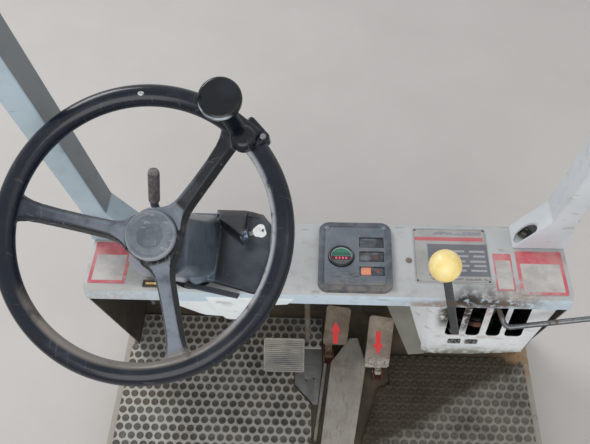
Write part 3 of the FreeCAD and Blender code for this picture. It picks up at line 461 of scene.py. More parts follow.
class Finish:
    """One material: its nodes, its shader and the patterns that feed it."""

    def __init__(self, name, **constants):
        self.material = bpy.data.materials.new(name)
        self.material.use_nodes = True
        self.tree = self.material.node_tree
        self.shader = self.tree.nodes["Principled BSDF"]
        for key, value in constants.items():
            self.shader.inputs[key.replace("_", " ")].default_value = value
        coordinates = self.add("ShaderNodeTexCoord")
        self.place = coordinates.outputs["Object"]
        self.normal = coordinates.outputs["Normal"]
        self.true_normal = self.add("ShaderNodeNewGeometry").outputs["Normal"]
        self.colour = None

    def add(self, kind, settings=None, sockets=None):
        """Adds a node: its settings first, then the values or links of its sockets."""
        node = self.tree.nodes.new(kind)
        for key, value in (settings or {}).items():
            setattr(node, key, value)
        for key, value in (sockets or {}).items():
            self.feed(node.inputs[key], value)
        return node

    def feed(self, socket, value):
        if isinstance(value, Wire):
            value = value.socket
        if isinstance(value, bpy.types.NodeSocket):
            self.tree.links.new(value, socket)
        else:
            socket.default_value = value

    def axis(self, letter):
        """Distance along X, Y or Z, in millimetres."""
        node = self.add("ShaderNodeSeparateXYZ", None, {0: self.place})
        return Wire(self, node.outputs[letter]) * 1000

    def facing(self, letter):
        """How much the surface faces along an axis, -1 to 1."""
        node = self.add("ShaderNodeSeparateXYZ", None, {0: self.normal})
        return Wire(self, node.outputs[letter])

    def noise(self, size, detail=3.0, rough=0.55, stretch=(1, 1, 1)):
        """Cloudy pattern, 0 to 1, with blotches about size millimetres across."""
        spread = self.add("ShaderNodeMapping", None, {"Vector": self.place, "Scale": stretch})
        sockets = {"Vector": spread.outputs[0], "Scale": 1000 / size}
        sockets.update({"Detail": detail, "Roughness": rough})
        return Wire(self, self.add("ShaderNodeTexNoise", None, sockets).outputs["Fac"])

    def cells(self, size):
        """Distance from scattered points that lie about size millimetres apart."""
        sockets = {"Vector": self.place, "Scale": 1000 / size}
        node = self.add("ShaderNodeTexVoronoi", None, sockets)
        return Wire(self, node.outputs["Distance"])

    def edge(self, width):
        """1 on sharp edges, 0 on flats."""
        bevel = self.add("ShaderNodeBevel", {"samples": 4}, {"Radius": width / 1000})
        both = self.add("ShaderNodeVectorMath", {"operation": "DOT_PRODUCT"},
                        {0: bevel.outputs[0], 1: self.true_normal})
        return (1 - Wire(self, both.outputs["Value"])).between(0.01, 0.18)

    def spot(self, centre, radius, stretch=(1, 1, 1)):
        """1 at a point, falling to 0 at a radius round it."""
        away = self.add("ShaderNodeVectorMath", {"operation": "SUBTRACT"},
                        {0: self.place, 1: tuple(Vector(centre) / 1000)})
        shaped = self.add("ShaderNodeVectorMath", {"operation": "MULTIPLY"},
                          {0: away.outputs[0], 1: stretch})
        long = self.add("ShaderNodeVectorMath", {"operation": "LENGTH"}, {0: shaped.outputs[0]})
        return 1 - Wire(self, long.outputs["Value"]).between(0.0, radius / 1000)

    def patch(self, x, y, soft=0.5):
        """1 inside a rectangle seen from above, 0 outside."""
        inside = 1.0
        for letter, (low, high) in zip("XY", (x, y)):
            at = self.axis(letter)
            inside = inside * at.between(low - soft, low + soft)
            inside = inside * (1 - at.between(high - soft, high + soft))
        return inside

    def hairlines(self):
        """1 on fine scratches that run two ways."""
        across = self.noise(22, 2, 0.5, (6.0, 0.4, 1.0)).between(0.66, 0.69)
        return across.most(self.noise(18, 2, 0.5, (0.5, 5.0, 1.0)).between(0.68, 0.7))

    def mix(self, share, first, second):
        """Colour between two, by a share from 0 to 1."""
        node = self.add("ShaderNodeMix", {"data_type": "RGBA"}, {0: share, 6: first, 7: second})
        return node.outputs[2]

    def base(self, share, first, second):
        """Starts the finish's colour between two 8-bit ones."""
        self.colour = self.mix(share, ink(*first), ink(*second))

    def over(self, share, tint):
        """Lays an 8-bit colour over the finish's colour."""
        self.colour = self.mix(share, self.colour, ink(*tint))

    def finished(self, roughness, height=None, depth=0.2, metal=None):
        """Feeds the shader; height is a pattern whose full range is depth millimetres."""
        self.feed(self.shader.inputs["Base Color"], self.colour)
        self.feed(self.shader.inputs["Roughness"], roughness)
        if metal is not None:
            self.feed(self.shader.inputs["Metallic"], metal)
        if height is not None:
            bump = self.add("ShaderNodeBump", None, {"Height": height, "Distance": depth / 1000})
            self.feed(self.shader.inputs["Normal"], bump.outputs["Normal"])
        return self.material


def enamel(name, paint, faded, bare=(92, 84, 76), dirt=(96, 86, 74), grime=0.35, wear=0.5, marks=(),
           tone_and_painted_light=None):
    """Sprayed paint that has dulled, with dirt in it, chipped edges and rubbed marks.

    marks are (centre, radius, colour, strength, stretch).
    The last argument gives the axis, way and colour of one side whose tint is painted light: a
    painted reflection where it is lighter, painted shade where it is darker.
    """
    f = Finish(name)
    cloud = f.noise(120, 3).between(0.35, 0.68)
    f.base(cloud, paint, faded)
    # Painted light: one side tinted for the light that falls on it.
    if tone_and_painted_light is not None:
        letter, sign, tint = tone_and_painted_light
        f.over((f.facing(letter) * sign).between(0.84, 0.97), tint)
    fine = f.noise(5, 5, 0.7)
    soil = f.noise(34, 6, 0.62)
    dirty = soil.between(0.52, 0.74) * grime
    f.over(dirty, dirt)
    rubbed = f.noise(16, 4, 0.6, (0.25, 1.0, 1.0)).between(0.62, 0.7) * 0.35
    f.over(rubbed, dirt)
    blotch = f.noise(12, 5, 0.65).between(0.3, 0.6)
    for centre, radius, tint, strength, stretch in marks:
        f.over(f.spot(centre, radius, stretch) * blotch * strength, tint)
    chipped = (f.edge(1.8) * (fine + soil) * 0.5 * wear * 2).between(0.33, 0.42)
    flecks = (1 - f.cells(26).between(0.0, 0.1)) * f.noise(60, 2).between(0.55, 0.65) * wear
    chipped = chipped.most(flecks)
    f.over(chipped, bare)
    roughness = 0.36 + cloud * 0.08 + dirty * 0.9 + fine * 0.12
    height = fine * 0.3 + f.noise(1.6, 2) * 0.3 - chipped * 0.6
    return f.finished(roughness, height, 0.12)


def rubbed_in(f, dust_from, dust_to):
    """Dust in moulded rubber, and the rubber's grain."""
    fine = f.noise(4, 4, 0.7)
    share = (f.noise(75, 4, 0.6) * 0.75 + fine * 0.35).between(dust_from, dust_to)
    return share, fine + f.noise(1.2, 2) * 0.5


def rubber(name, dark, dusty, dust_from, dust_to, tint=None):
    """Moulded rubber with dust rubbed into it."""
    f = Finish(name)
    share, grain = rubbed_in(f, dust_from, dust_to)
    f.base(share, dark, dusty)
    if tint is not None:
        brown = f.noise(130, 3).between(0.48, 0.66) * 0.6
        f.over(brown, tint)
    return f.finished(0.62 + share * 0.25, grain, 0.25)


def plastic(name, dark, dusty, shine=0.35, grain=0.9, dust=0.5, scratch=0.3, specular=0.5):
    """Moulded plastic with a fine grain, dust on what faces up and hairline scratches."""
    f = Finish(name, Specular_IOR_Level=specular)
    cloud = f.noise(60, 4, 0.6)
    up = f.facing("Z").between(0.2, 1.0)
    share = (up * cloud * dust * 1.6).between(0.1, 1.0)
    f.base(share, dark, dusty)
    hair = f.hairlines() * scratch
    f.over(hair, dusty)
    rubbed = f.edge(1.2) * f.noise(14, 4).between(0.4, 0.6) * 0.5
    f.over(rubbed, dusty)
    roughness = shine + share * 0.3 + hair * 0.2 + cloud * 0.1
    return f.finished(roughness, f.noise(grain, 2) * 0.6 + f.noise(8, 3) * 0.4, 0.06)


def steel(name, bright, rust, rusty=0.4, shine=0.35, metal=0.85, grain=(1, 1, 1)):
    """Bare steel, rubbed bright in places and rusted in others."""
    f = Finish(name)
    cloud = f.noise(40, 5, 0.65)
    share = (cloud + f.noise(6, 4, 0.7) * 0.5).between(0.98 - rusty * 0.6, 1.16 - rusty * 0.6)
    brushed = f.noise(3, 3, 0.6, grain)
    f.base(brushed.between(0.3, 0.7), bright, [value * 0.78 for value in bright])
    f.over(share, rust)
    return f.finished(shine + share * 0.4 + brushed * 0.15, brushed * 0.6 + share * 0.6, 0.12,
                      metal - share * 0.8 * metal)


def camera():
    data = bpy.data.cameras.new("photograph")
    data.lens = CAMERA_LENS
    data.sensor_width = 36.0
    obj = bpy.data.objects.new("photograph", data)
    obj.location = CAMERA_AT
    obj.rotation_euler = Euler([math.radians(turn) for turn in CAMERA_TURN])
    bpy.context.collection.objects.link(obj)
    bpy.context.scene.camera = obj


def lamp(name, at, target, size, power, tint=(1, 1, 1)):
    """Soft square lamp turned to a point; metres and watts."""
    data = bpy.data.lights.new(name, "AREA")
    data.size = size
    data.energy = power
    data.color = tint
    obj = bpy.data.objects.new(name, data)
    obj.location = at
    obj.rotation_euler = (Vector(target) - Vector(at)).to_track_quat("-Z", "Y").to_euler()
    bpy.context.collection.objects.link(obj)


def studio():
    """Pale floor, soft daylight from the left and ahead, and a pale surround."""
    scene = bpy.context.scene
    scene.view_settings.view_transform = "Standard"
    floor = added("floor", bpy.ops.mesh.primitive_plane_add, size=14, location=(0, 0, -0.0006))
    f = Finish("pale_floor")
    f.base(f.noise(300, 5, 0.6), (206, 202, 198), (192, 188, 184))
    floor.data.materials.append(f.finished(0.85))
    lamp("daylight", (-1.9, 1.9, 3.1), (0, 0.1, 0.5), 1.4, 50, (0.97, 0.985, 1.0))
    lamp("fill", (2.2, -1.6, 2.6), (0, 0, 0.5), 2.6, 12, (1.0, 0.985, 0.96))
    lamp("near_fill", (-0.3, -2.7, 2.1), (0, 0.1, 0.35), 2.4, 48, (1.0, 0.995, 0.985))
    world = bpy.data.worlds.new("surround")
    world.use_nodes = True
    scene.world = world
    tree = world.node_tree
    background = tree.nodes["Background"]
    paths = tree.nodes.new("ShaderNodeLightPath")
    seen = tree.nodes.new("ShaderNodeMath")
    seen.operation = "MAXIMUM"
    tree.links.new(paths.outputs["Is Camera Ray"], seen.inputs[0])
    tree.links.new(paths.outputs["Is Glossy Ray"], seen.inputs[1])
    through = tree.nodes.new("ShaderNodeMath")
    through.operation = "MAXIMUM"
    tree.links.new(seen.outputs[0], through.inputs[0])
    tree.links.new(paths.outputs["Is Transmission Ray"], through.inputs[1])
    level = tree.nodes.new("ShaderNodeMapRange")
    level.inputs["To Min"].default_value = SURROUND_LIGHT
    level.inputs["To Max"].default_value = SURROUND_SEEN
    tree.links.new(through.outputs[0], level.inputs["Value"])
    tree.links.new(level.outputs["Result"], background.inputs["Strength"])
    background.inputs["Color"].default_value = (0.965, 0.98, 1.0, 1.0)


COIN_R = 7.8
COIN_PITCH = 19.8
COIN_ROW = 10.0
COIN_RISE = 2.8


def mat(name, outline, finish, coin_finish, first):
    """Rubber mat: a sheet and rows of raised coins, cut at the mat's outline."""
    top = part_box(name)[1].z * 1000
    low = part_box(name)[0].z * 1000
    sheet = plate(name + "_sheet", outline, "Z", low, top - COIN_RISE)
    softened(sheet, 0.8)
    fitted(smooth(sheet), finish, "mat_rubber", BODY, name)
    corner = [min(point[i] for point in outline) for i in (0, 1)]
    far = [max(point[i] for point in outline) for i in (0, 1)]
    across = int((far[0] - corner[0]) / COIN_PITCH) + 2
    up = int((far[1] - corner[1]) / (2 * COIN_ROW)) + 2
    steps = [(COIN_R, -0.6), (COIN_R, COIN_RISE - 0.9), (COIN_R - 0.9, COIN_RISE),
             (COIN_R - 2.4, COIN_RISE)]
    steps.append((COIN_R - 3.0, COIN_RISE - 0.25))
    start = (corner[0] + first, corner[1] + 4, top - COIN_RISE)
    coin = turned(name + "_coins", steps, start, sides=12)
    modified(coin, "ARRAY", count=across, use_relative_offset=False, use_constant_offset=True,
             constant_offset_displace=(COIN_PITCH / 1000, 0, 0))
    row = Matrix.Translation((-COIN_PITCH / 2000, COIN_ROW * 2 / 1000, 0))
    coin = joined(name + "_coins", [coin, copied(coin, name + "_row", row)])
    modified(coin, "ARRAY", count=up // 2 + 1, use_relative_offset=False, use_constant_offset=True,
             constant_offset_displace=(0, COIN_ROW * 4 / 1000, 0))
    inside = plate(name + "_cutter", outline, "Z", low, top + 5)
    cut(coin, inside, "INTERSECT")
    return fitted(smooth(coin, 30), coin_finish, "mat_rubber", BODY)


WALL_AT_PAN = 402.0 + 46.0
INSET_X = (-68.0, -6.0)
INSET_Y = (176.0, 312.0)
MAT_NEAR = -300.0
MAT_FAR = 396.0


def shadowed_rubber(name, dark, dusty, shadow_dark, shadow_pale):
    """Dusty rubber near the driver, darker and browner beyond a slanting line and on the left:
    painted shadow.
    """
    f = Finish(name)
    share, grain = rubbed_in(f, 0.34, 0.62)
    lit_colour = f.mix(share, ink(*dark), ink(*dusty))
    shadow_colour = f.mix(share, ink(*shadow_dark), ink(*shadow_pale))
    line = f.axis("Y") - f.axis("X") * 0.66 + (f.noise(60, 4, 0.6) - 0.5) * 90
    shadow_share = line.between(-34, 10)
    f.colour = f.mix(shadow_share, lit_colour, shadow_colour)
    return f.finished(0.66 + share * 0.22 - shadow_share * 0.12, grain, 0.25)


def mats():
    wall = WALL_AT_PAN - 3.0 - 1.5
    out = PAN_HALF - 15.0
    left = [
        (-out, MAT_NEAR), (-34, MAT_NEAR), (-25, 76), (-28, 170), (INSET_X[0] - 1.5, 215),
        (INSET_X[0] - 1.5, INSET_Y[1] + 1.5),
        (-8, INSET_Y[1] + 1.5), (-8, MAT_FAR), (-wall, MAT_FAR), (-wall, 313), (-out, 313),
    ]
    right = [
        (84, MAT_NEAR), (out, MAT_NEAR), (out, 283), (420, 283), (420, 298), (150, 298), (150, 224),
        (123, 214), (84, 79),
    ]
    net = rubber("mat_dust_net", (130, 127, 120), (184, 182, 175), 0.3, 0.58)
    coins = rubber("mat_coins", (64, 63, 58), (128, 126, 120), 0.45, 0.8, (86, 74, 58))
    # The right mat is dirtier, with painted shadow beyond a slanting line.
    net_right = shadowed_rubber("mat_dirty_shadowed_net", (116, 112, 104), (162, 158, 150), (66, 56, 44), (88, 80, 68))
    coins_right = shadowed_rubber("mat_dirty_shadowed_coins", (62, 60, 54), (112, 108, 100), (50, 43, 34), (72, 64, 53))
    mat("mat_left", left, net, coins, 8)
    mat("mat_right", right, net_right, coins_right, 4)


def cowl():
    """One sheet: top, near lip and far flange, folded on rounded bends."""
    middle = (COWL_NEAR + COWL_FAR) / 2
    obj = added("cowl_sheet", bpy.ops.mesh.primitive_plane_add, size=1,
                location=Vector((0, middle, COWL_TOP)) / 1000)
    obj.scale = Vector((2 * COWL_HALF, COWL_FAR - COWL_NEAR, 1000)) / 1000
    settle(obj)
    pick(obj, lambda at, way: at.y < COWL_NEAR + 1 and abs(way.x) > 0.9, "EDGE")
    drawn_out((0, 0, -COWL_LIP))
    done(obj)
    pick(obj, lambda at, way: at.y > COWL_FAR - 1 and abs(way.x) > 0.9, "EDGE")
    drawn_out((0, 0, -COWL_BACK))
    done(obj)
    pick(obj, lambda at, way: at.z > COWL_TOP - 1 and abs(way.x) > 0.9, "EDGE")
    bpy.ops.mesh.bevel(offset=COWL_BEND / 1000, segments=6)
    done(obj)
    outward(obj)
    modified(obj, "SOLIDIFY", thickness=COWL_T / 1000, offset=-1)
    top = [face for face in obj.data.polygons if face.center.z > (COWL_TOP - 0.5) / 1000]
    if sum(face.normal.z * face.area for face in top) < 0:
        outward(obj)
    hole = turned("column_hole", [(46, 0), (46, 250)], on_axis(500), AXIS)
    cut(obj, hole)
    cut(obj, block("panel_hole", (2, 98), (132, 240), (COWL_TOP - 20, COWL_TOP + 5)))
    softened(obj, 0.5, 1, 60)
    # The first mark puts plain grey back on the lip's left end, without the painted bluish
    # reflection; the others are rust, dirt and dark scrapes.
    marks = (
        ((-372, 108, 616), 110, (177, 176, 172), 0.9, (0.7, 1, 1)),
        ((212, 110, 608), 50, (118, 92, 72), 0.9, (0.7, 1, 2.2)),
        ((236, 108, 620), 36, (26, 25, 24), 1.6, (0.9, 0.7, 1.2)),
        ((272, 108, 620), 40, (30, 29, 28), 1.5, (0.8, 0.8, 1.5)),
        ((304, 108, 616), 30, (44, 40, 38), 1.2, (0.6, 1, 2.0)),
        ((180, 108, 606), 60, (150, 118, 92), 0.8, (0.6, 1, 2.4)),
        ((308, 108, 618), 60, (116, 96, 80), 0.7, (0.7, 1, 2.0)),
        ((330, 118, 634), 50, (132, 112, 96), 0.5, (0.7, 1.4, 1)),
    )
    # Faces towards the driver get a painted bluish reflection.
    finish = enamel("cowl_grey", (182, 184, 184), (170, 172, 172), grime=0.22, wear=0.35,
                    marks=marks,
                    tone_and_painted_light=("Y", -1, (190, 206, 218)))
    return fitted(smooth(obj), finish, "cowl_paint", BODY, "cowl")


BRAKE_AT = Vector((-89.0, 236.0, 200.0))
BRAKE_SLOPE = 40.0
BRAKE_W = 90.0
BRAKE_L = 75.0
BRAKE_T = 10.0
BRAKE_PIVOT = (246.0, 508.0)
BRAKE_ARM_X = -38.0
BRAKE_ARM_R = 6.5
TREADLES = (
    # name, x, heel's x, hinge y, plate from, plate to, arrow from, arrow to
    ("forward", 27.0, 9.0, 285.0, 31.0, 128.0, 36.0, 90.0),
    ("reverse", 122.0, 122.0, 246.0, 15.0, 142.0, 106.0, 49.0),
)
TREADLE_Z = 118.0
TREADLE_SLOPE = 56.0
TREADLE_W = 55.0
TREADLE_SKEW = (-4.0, 4.0)


def posed(obj, at, slope):
    """Leans a piece drawn round the origin back about X and sets it on its place."""
    turn = Matrix.Rotation(math.radians(slope), 4, "X")
    obj.data.transform(Matrix.Translation(Vector(at) / 1000) @ turn)
    return obj


def lofted(name, rings):
    """Skin through rings of as many points each, closed at both ends."""
    obj = face_of(name, rings[0])
    for last, ring in zip(rings, rings[1:]):
        if last is rings[0]:
            edit(obj)
        else:
            only(obj)
            bpy.ops.object.mode_set(mode="EDIT")
        bpy.ops.mesh.extrude_region_move()
        done(obj)
        places = [Vector(point) / 1000 for point in last]
        for vertex in obj.data.vertices:
            if vertex.select:
                nearest = min(range(len(places)), key=lambda k: (places[k] - vertex.co).length)
                vertex.co = Vector(ring[nearest]) / 1000
    return outward(obj)


SPOKE = (
    # along the spoke, top, half width of top and bottom, depth
    (0, -48, 24, 27, 24), (30, -48.5, 23, 26, 24), (37, -50.5, 17, 20.6, 23),
    (44, -51.5, 12.6, 16.6, 21),
    (52, -50, 10, 14.4, 20), (60, -46.5, 8.6, 13, 20),
    (90, -34.5, 7.6, 12.2, 20), (120, -21, 7.6, 12.2, 19), (140, -10.5, 8.2, 12.8, 17),
    (150, -4, 10, 14, 15),
    (158, 1, 13.5, 17, 13), (166, 5, 19, 22, 11),
)


def spoke_ring(along, top, wide, wider, depth):
    """Section of a spoke: flat top, sloping sides."""
    half = [(wide - 2.4, top), (wide - 0.6, top - 0.6), (wide + 0.6, top - 2.4),
            (wider, top - depth + 2),
            (wider - 1, top - depth)]
    both = half + [(-y, z) for y, z in reversed(half)]
    return [(along, y, z) for y, z in both]


def rim_ring(name, tube_r):
    """Round tube along the rim's line."""
    return added(name, bpy.ops.mesh.primitive_torus_add, major_segments=160, minor_segments=32,
                 major_radius=RIM_R / 1000, minor_radius=tube_r / 1000)


def steering_wheel():
    """Rim, three dished box-section spokes that flare into it, and the hub, as one moulding."""
    low = -HUB_DROP - HUB_H
    parts = [rim_ring("rim", RIM_TUBE_R)]
    parts.append(turned("hub", [(HUB_R + 4, low), (HUB_R + 4, low + 2), (HUB_R + 2, -HUB_DROP - 10),
                                (HUB_R + 0.5, -HUB_DROP)], sides=64))
    for angle in SPOKE_ANGLES:
        spoke = lofted("spoke", [spoke_ring(*station) for station in SPOKE])
        spoke.data.transform(about_z(angle))
        parts.append(spoke)
    wheel = moulded("wheel_moulding", parts, 1.4, 2)
    f = Finish("wheel_moulding", Specular_IOR_Level=0.35)
    across = f.axis("X") - WHEEL.x
    c, s = -AXIS.y, AXIS.z
    along = (f.axis("Y") - WHEEL.y) * s + (f.axis("Z") - WHEEL.z) * c
    away = across * across + along * along
    inner = 1 - away.between(146 ** 2, 160 ** 2)
    cloud = f.noise(60, 4, 0.6)
    up = f.facing("Z").between(0.62, 0.84)
    dusty = up * f.noise(26, 5, 0.65).between(0.1, 0.52) * inner
    f.base(inner, (14, 22, 34), (22, 25, 30))
    f.over(dusty * 0.95, (134, 141, 152))
    blue = across.between(-150, -60)
    f.over(inner * (1 - blue) * 0.6, (28, 38, 54))
    film = up * cloud.between(0.42, 0.7) * (1 - inner)
    f.over(film * 0.12, (96, 100, 106))
    radius_in = 1 - away.between(162 ** 2, 168 ** 2)
    low_part = (1 - along.between(-120, -60)) * radius_in * (1 - inner)
    f.over(low_part * cloud.between(0.3, 0.5) * 0.85, (142, 134, 126))
    # Painted highlight: a whitish band along the inner side of the rim on the right.
    narrow = 1 - away.between(160 ** 2, 166 ** 2)
    rim_right_highlight = across.between(90, 130) * narrow * (1 - inner) * (1 - along.between(96, 130))
    f.over(rim_right_highlight * f.noise(18, 4, 0.6).between(0.25, 0.5) * 0.9, (190, 193, 198))
    hair = f.hairlines() * 0.3
    f.over(hair * (inner * 0.7 + 0.3), (140, 144, 148))
    chip = f.spot(on_wheel(93, RIM_R - 2, RIM_TUBE_R), 5.5, (0.8, 1.2, 1)).between(0.35, 0.5)
    f.over(chip * f.noise(3, 3, 0.6).between(0.35, 0.5), (206, 206, 204))
    roughness = 0.16 + inner * 0.2 + dusty * 0.3 + cloud * 0.08
    finish = f.finished(roughness, f.noise(1.4, 2) * 0.6 + f.noise(9, 3) * 0.5, 0.07)
    fitted(onto_wheel(wheel), finish, "wheel_black", "steer", "steering_wheel")
    cap_steps = [
        (HUB_R - 0.5, 0.2), (HUB_R - 0.5, 5.0), (HUB_R - 1.2, 7.0), (HUB_R - 3.0, 8.6),
        (HUB_R - 5, 8.9),
        (HUB_R - 6.5, 8.5), (HUB_R - 7.5, 7.9), (HUB_R - 9, 8.5), (17.5, 8.3), (16.2, 7.0),
        (15, 6.4), (10, 6.8),
        (0.3, 7.0),
    ]
    cap = turned("hub_disc", cap_steps, on_axis(HUB_DROP), AXIS, 96)
    f = Finish("hub_disc")
    cloud = f.noise(26, 5, 0.65)
    across = f.axis("X") - WHEEL.x
    top = on_axis(HUB_DROP)
    along = (f.axis("Y") - top.y) * s + (f.axis("Z") - top.z) * c
    away = across * across + along * along
    middle = 1 - away.between(15 ** 2, 17 ** 2)
    f.base(cloud.between(0.34, 0.68), (98, 105, 113), (122, 128, 135))
    f.colour = f.mix(middle * 0.6, f.colour,
                     f.mix(cloud.between(0.4, 0.7), ink(74, 82, 91), ink(104, 110, 117)))
    ring = away.between((HUB_R - 3.6) ** 2, (HUB_R - 2.6) ** 2)
    f.over(ring * cloud.between(0.25, 0.5) * 0.7, (158, 165, 172))
    hair = f.noise(16, 2, 0.5, (1.0, 4.0, 1.0)).between(0.64, 0.67)
    hair = hair.most(f.noise(14, 2, 0.5, (4.0, 0.7, 1.0)).between(0.66, 0.69))
    f.over(hair * 0.5, (158, 162, 166))
    flecks = (1 - f.cells(9).between(0.0, 0.09)) * f.noise(30, 2).between(0.5, 0.6)
    f.over(flecks * 0.7, (170, 172, 174))
    rubbed = f.edge(1.0) * cloud.between(0.35, 0.6) * 0.6
    f.over(rubbed, (156, 161, 166))
    finish = f.finished(0.42 + cloud * 0.2, f.noise(1.2, 2) + cloud, 0.06)
    fitted(cap, finish, "worn_plastic", "steer", "hub_cap")


def spinner():
    """Clamp on the rim with its domed boss and arm, and the knob that turns on it."""
    boss = about_z(CLAMP_ANGLE) @ Vector((CLAMP_BOSS_R, 0, 0))
    knob = about_z(SPIN_ANGLE) @ Vector((SPIN_R, 0, 0))
    level = Vector((0, 0, 26))
    side = boss.cross(Vector((0, 0, 1)))
    jaws = block("jaws", (RIM_R - 9, RIM_R + 21), (-18, 18), (-17, 17))
    softened(jaws, 4, 3)
    jaws.data.transform(about_z(CLAMP_ANGLE))
    dome = turned("dome",
                  [(15, 10), (15.8, 16), (15.8, 25), (15, 29.5), (12.5, 32.6), (8.5, 34),
                   (0.3, 34.4)], boss)
    neck = turned("neck", [(10.5, 18), (12, 24), (12, 33.4), (11.5, 34)], knob)
    arm = bar("arm", boss + level, knob + level, 20, 13, side, 4)
    heel = about_z(CLAMP_ANGLE - 3) @ Vector((RIM_R + 8, 0, 21))
    arm_out = bar("arm_out", heel, knob + level, 18, 11, side, 4)
    clamp = moulded("rim_clamp", [jaws, dome, neck, arm, arm_out], 1.1, 5)
    cut(clamp, rim_ring("rim_way", RIM_TUBE_R + 0.2))
    finish = plastic("clamp_black", (16, 21, 29), (84, 92, 102), 0.14, 2.0, 0.2, 0.25, 0.35)
    fitted(onto_wheel(smooth(clamp)), finish, "clamp_steel", "steer", "spinner_clamp")
    out = about_z(CLAMP_ANGLE - 4)
    start = out @ Vector((RIM_R + 12, 0, 16))
    steps = [(2.4, 0), (2.4, 2), (4.4, 2.2), (4.4, 4.8), (3.6, 5.6), (0.3, 5.8)]
    screw = turned("clamp_screw", steps, start, out @ Vector((0.3, 0, 1)), 6)
    fitted(onto_wheel(screw), steel("screw_bright", (150, 153, 156), (92, 72, 56), 0.3, 0.25),
           "clamp_steel", "steer")
    steps = [
        (12.6, 34.5), (14.2, 35.2), (15.4, 40), (17.2, 47), (20.4, 55), (23.6, 62), (25.4, 67),
        (26, 70.5),
        (26, 74.5), (25.5, 76.9), (24.3, 78.7), (22.4, 79.7), (20, 80), (0.3, 79.6),
    ]
    top = turned("spinner_top", steps, on_wheel(SPIN_ANGLE, SPIN_R, 0), AXIS, 72)
    f = Finish("knob_gloss", Specular_IOR_Level=0.35)
    centre = on_wheel(SPIN_ANGLE, SPIN_R, 76.5)
    # Painted light on the knob: a pale crescent highlight along its lower edge, and a lighter sheen
    # on its top.
    side = (f.axis("X") - centre.x) * -0.35 - (f.axis("Y") - centre.y) * 0.75
    side = side - (f.axis("Z") - centre.z) * 0.55
    wear_and_highlight = side.between(12, 20) * f.noise(30, 3).between(0.3, 0.5)
    level = (f.axis("Z") - centre.z) * AXIS.z + (f.axis("Y") - centre.y) * AXIS.y
    band = level.between(-4.5, -2.0) * (1 - level.between(1.0, 2.6))
    sheen = f.spot(centre + Vector((10, 8, 8)), 22, (1, 1, 1)).between(0.1, 0.9)
    f.base(sheen * 0.3, (15, 19, 24), (44, 52, 60))
    f.over(wear_and_highlight * band, (176, 186, 194))
    fitted(smooth(top, 50), f.finished(0.1 + f.noise(30, 3) * 0.1), "gloss_black", "knob",
           "spinner_knob")


COLUMN_LEVER_AT = (-262, 172, 725)


def column():
    """Column lever with its ribbed grip, and finishes on the column's solids."""
    foot = Vector(COLUMN_LEVER_AT)
    knee = Vector((-267, 169, 785))
    tip = Vector((-254, 165, 865))
    stem = rod("lever_stem", eased([foot, knee, knee.lerp(tip, 0.3)], 7, 5), 6.3)
    run = (tip - knee).length
    ribs = [(6.3, 6), (6.3, 9), (8.2, 10), (8.6, 12)]
    count = 8
    pitch = (run - 18) / count
    for k in range(count):
        start = 13 + pitch * k
        ribs += [(8.95, start), (8.95, start + pitch * 0.55), (8.4, start + pitch * 0.62),
                 (8.4, start + pitch * 0.95)]
    ribs += [(8.8, run - 4.6), (8.2, run - 2), (6, run - 0.6), (0.3, run - 0.2)]
    grip = turned("column_grip", ribs, knee, tip - knee, 32)
    ring = turned("grip_hub", [(8, -4), (9, -3), (9, 3), (8, 4)], foot, RIGHT, 28)
    f = Finish("grip_ribbed")
    high = f.axis("Z").between(797, 800)
    wear_and_highlight = f.noise(7, 4, 0.7)
    f.colour = f.mix(high, ink(58, 66, 78),
                     f.mix(wear_and_highlight.between(0.35, 0.62), ink(84, 77, 78), ink(126, 118, 118)))
    shade = (f.axis("X") + f.axis("Z") * -0.16).between(-391, -384)
    f.over(shade * 0.35, (40, 42, 48))
    finish = f.finished(0.45 + wear_and_highlight * 0.3, wear_and_highlight, 0.2)
    fitted(joined("column_grip", [grip, stem, ring]), finish, "worn_plastic", "column_arm",
           "column_lever")
    dark = enamel("column_paint", (58, 60, 62), (70, 70, 70), grime=0.5, wear=0.4)
    for node in ("column_jacket", "column_bracket", "lever_mount", "brake_bracket"):
        repaint(node, dark)
    repaint("steering_unit", steel("unit_iron", (110, 108, 104), (96, 70, 50), 0.5, 0.5, 0.5))
    repaint("steering_shaft", steel("shaft_steel", (150, 150, 150), (100, 78, 60), 0.3, 0.3))


COVER_X = (-302.0, -92.0)
COVER_Y = (116.0, 264.0)
COVER_LOW = COWL_TOP + 0.3
COVER_FLAT = COVER_LOW + 14.0
HUMP_X = (-288.0, -184.0)
HUMP_Y = (126.0, 262.0)
COLLAR_R = 50.0
COLLAR_DROP = 96.0
POD_X = (-186.0, -138.0)
POD_Y = (206.0, 264.0)
POD_H = 33.5
KEY_OUT = Vector((0.93, 0.05, 0.36)).normalized()
KEY_FACE = Vector((POD_X[1], 206.0, COVER_FLAT + 14.7))


def hump_rings():
    """Rings from the hump's squarish foot up to its round collar."""
    foot = rounded(rectangle(HUMP_X, HUMP_Y), [34, 24, 20, 24], 5)
    centre = Vector((sum(HUMP_X) / 2, sum(HUMP_Y) / 2))
    top = on_axis(COLLAR_DROP)
    across = AXIS.cross(Vector((1, 0, 0)))
    rings = []
    for share in (-0.02, 0.12, 0.3, 0.5, 0.72, 0.9, 1.0):
        ring = []
        for x, y in foot:
            angle = math.atan2(y - centre.y, x - centre.x)
            high = top + (Vector((1, 0, 0)) * math.cos(angle) + across * math.sin(angle)) * COLLAR_R
            low = Vector((x, y, COVER_FLAT - 1))
            waist = 1 - 0.05 * math.sin(math.pi * max(share, 0))
            middle = low.lerp(high, share)
            hub = Vector((centre.x, centre.y, COVER_FLAT - 1)).lerp(top, share)
            ring.append(hub + (middle - hub) * waist)
        rings.append(ring)
    return rings


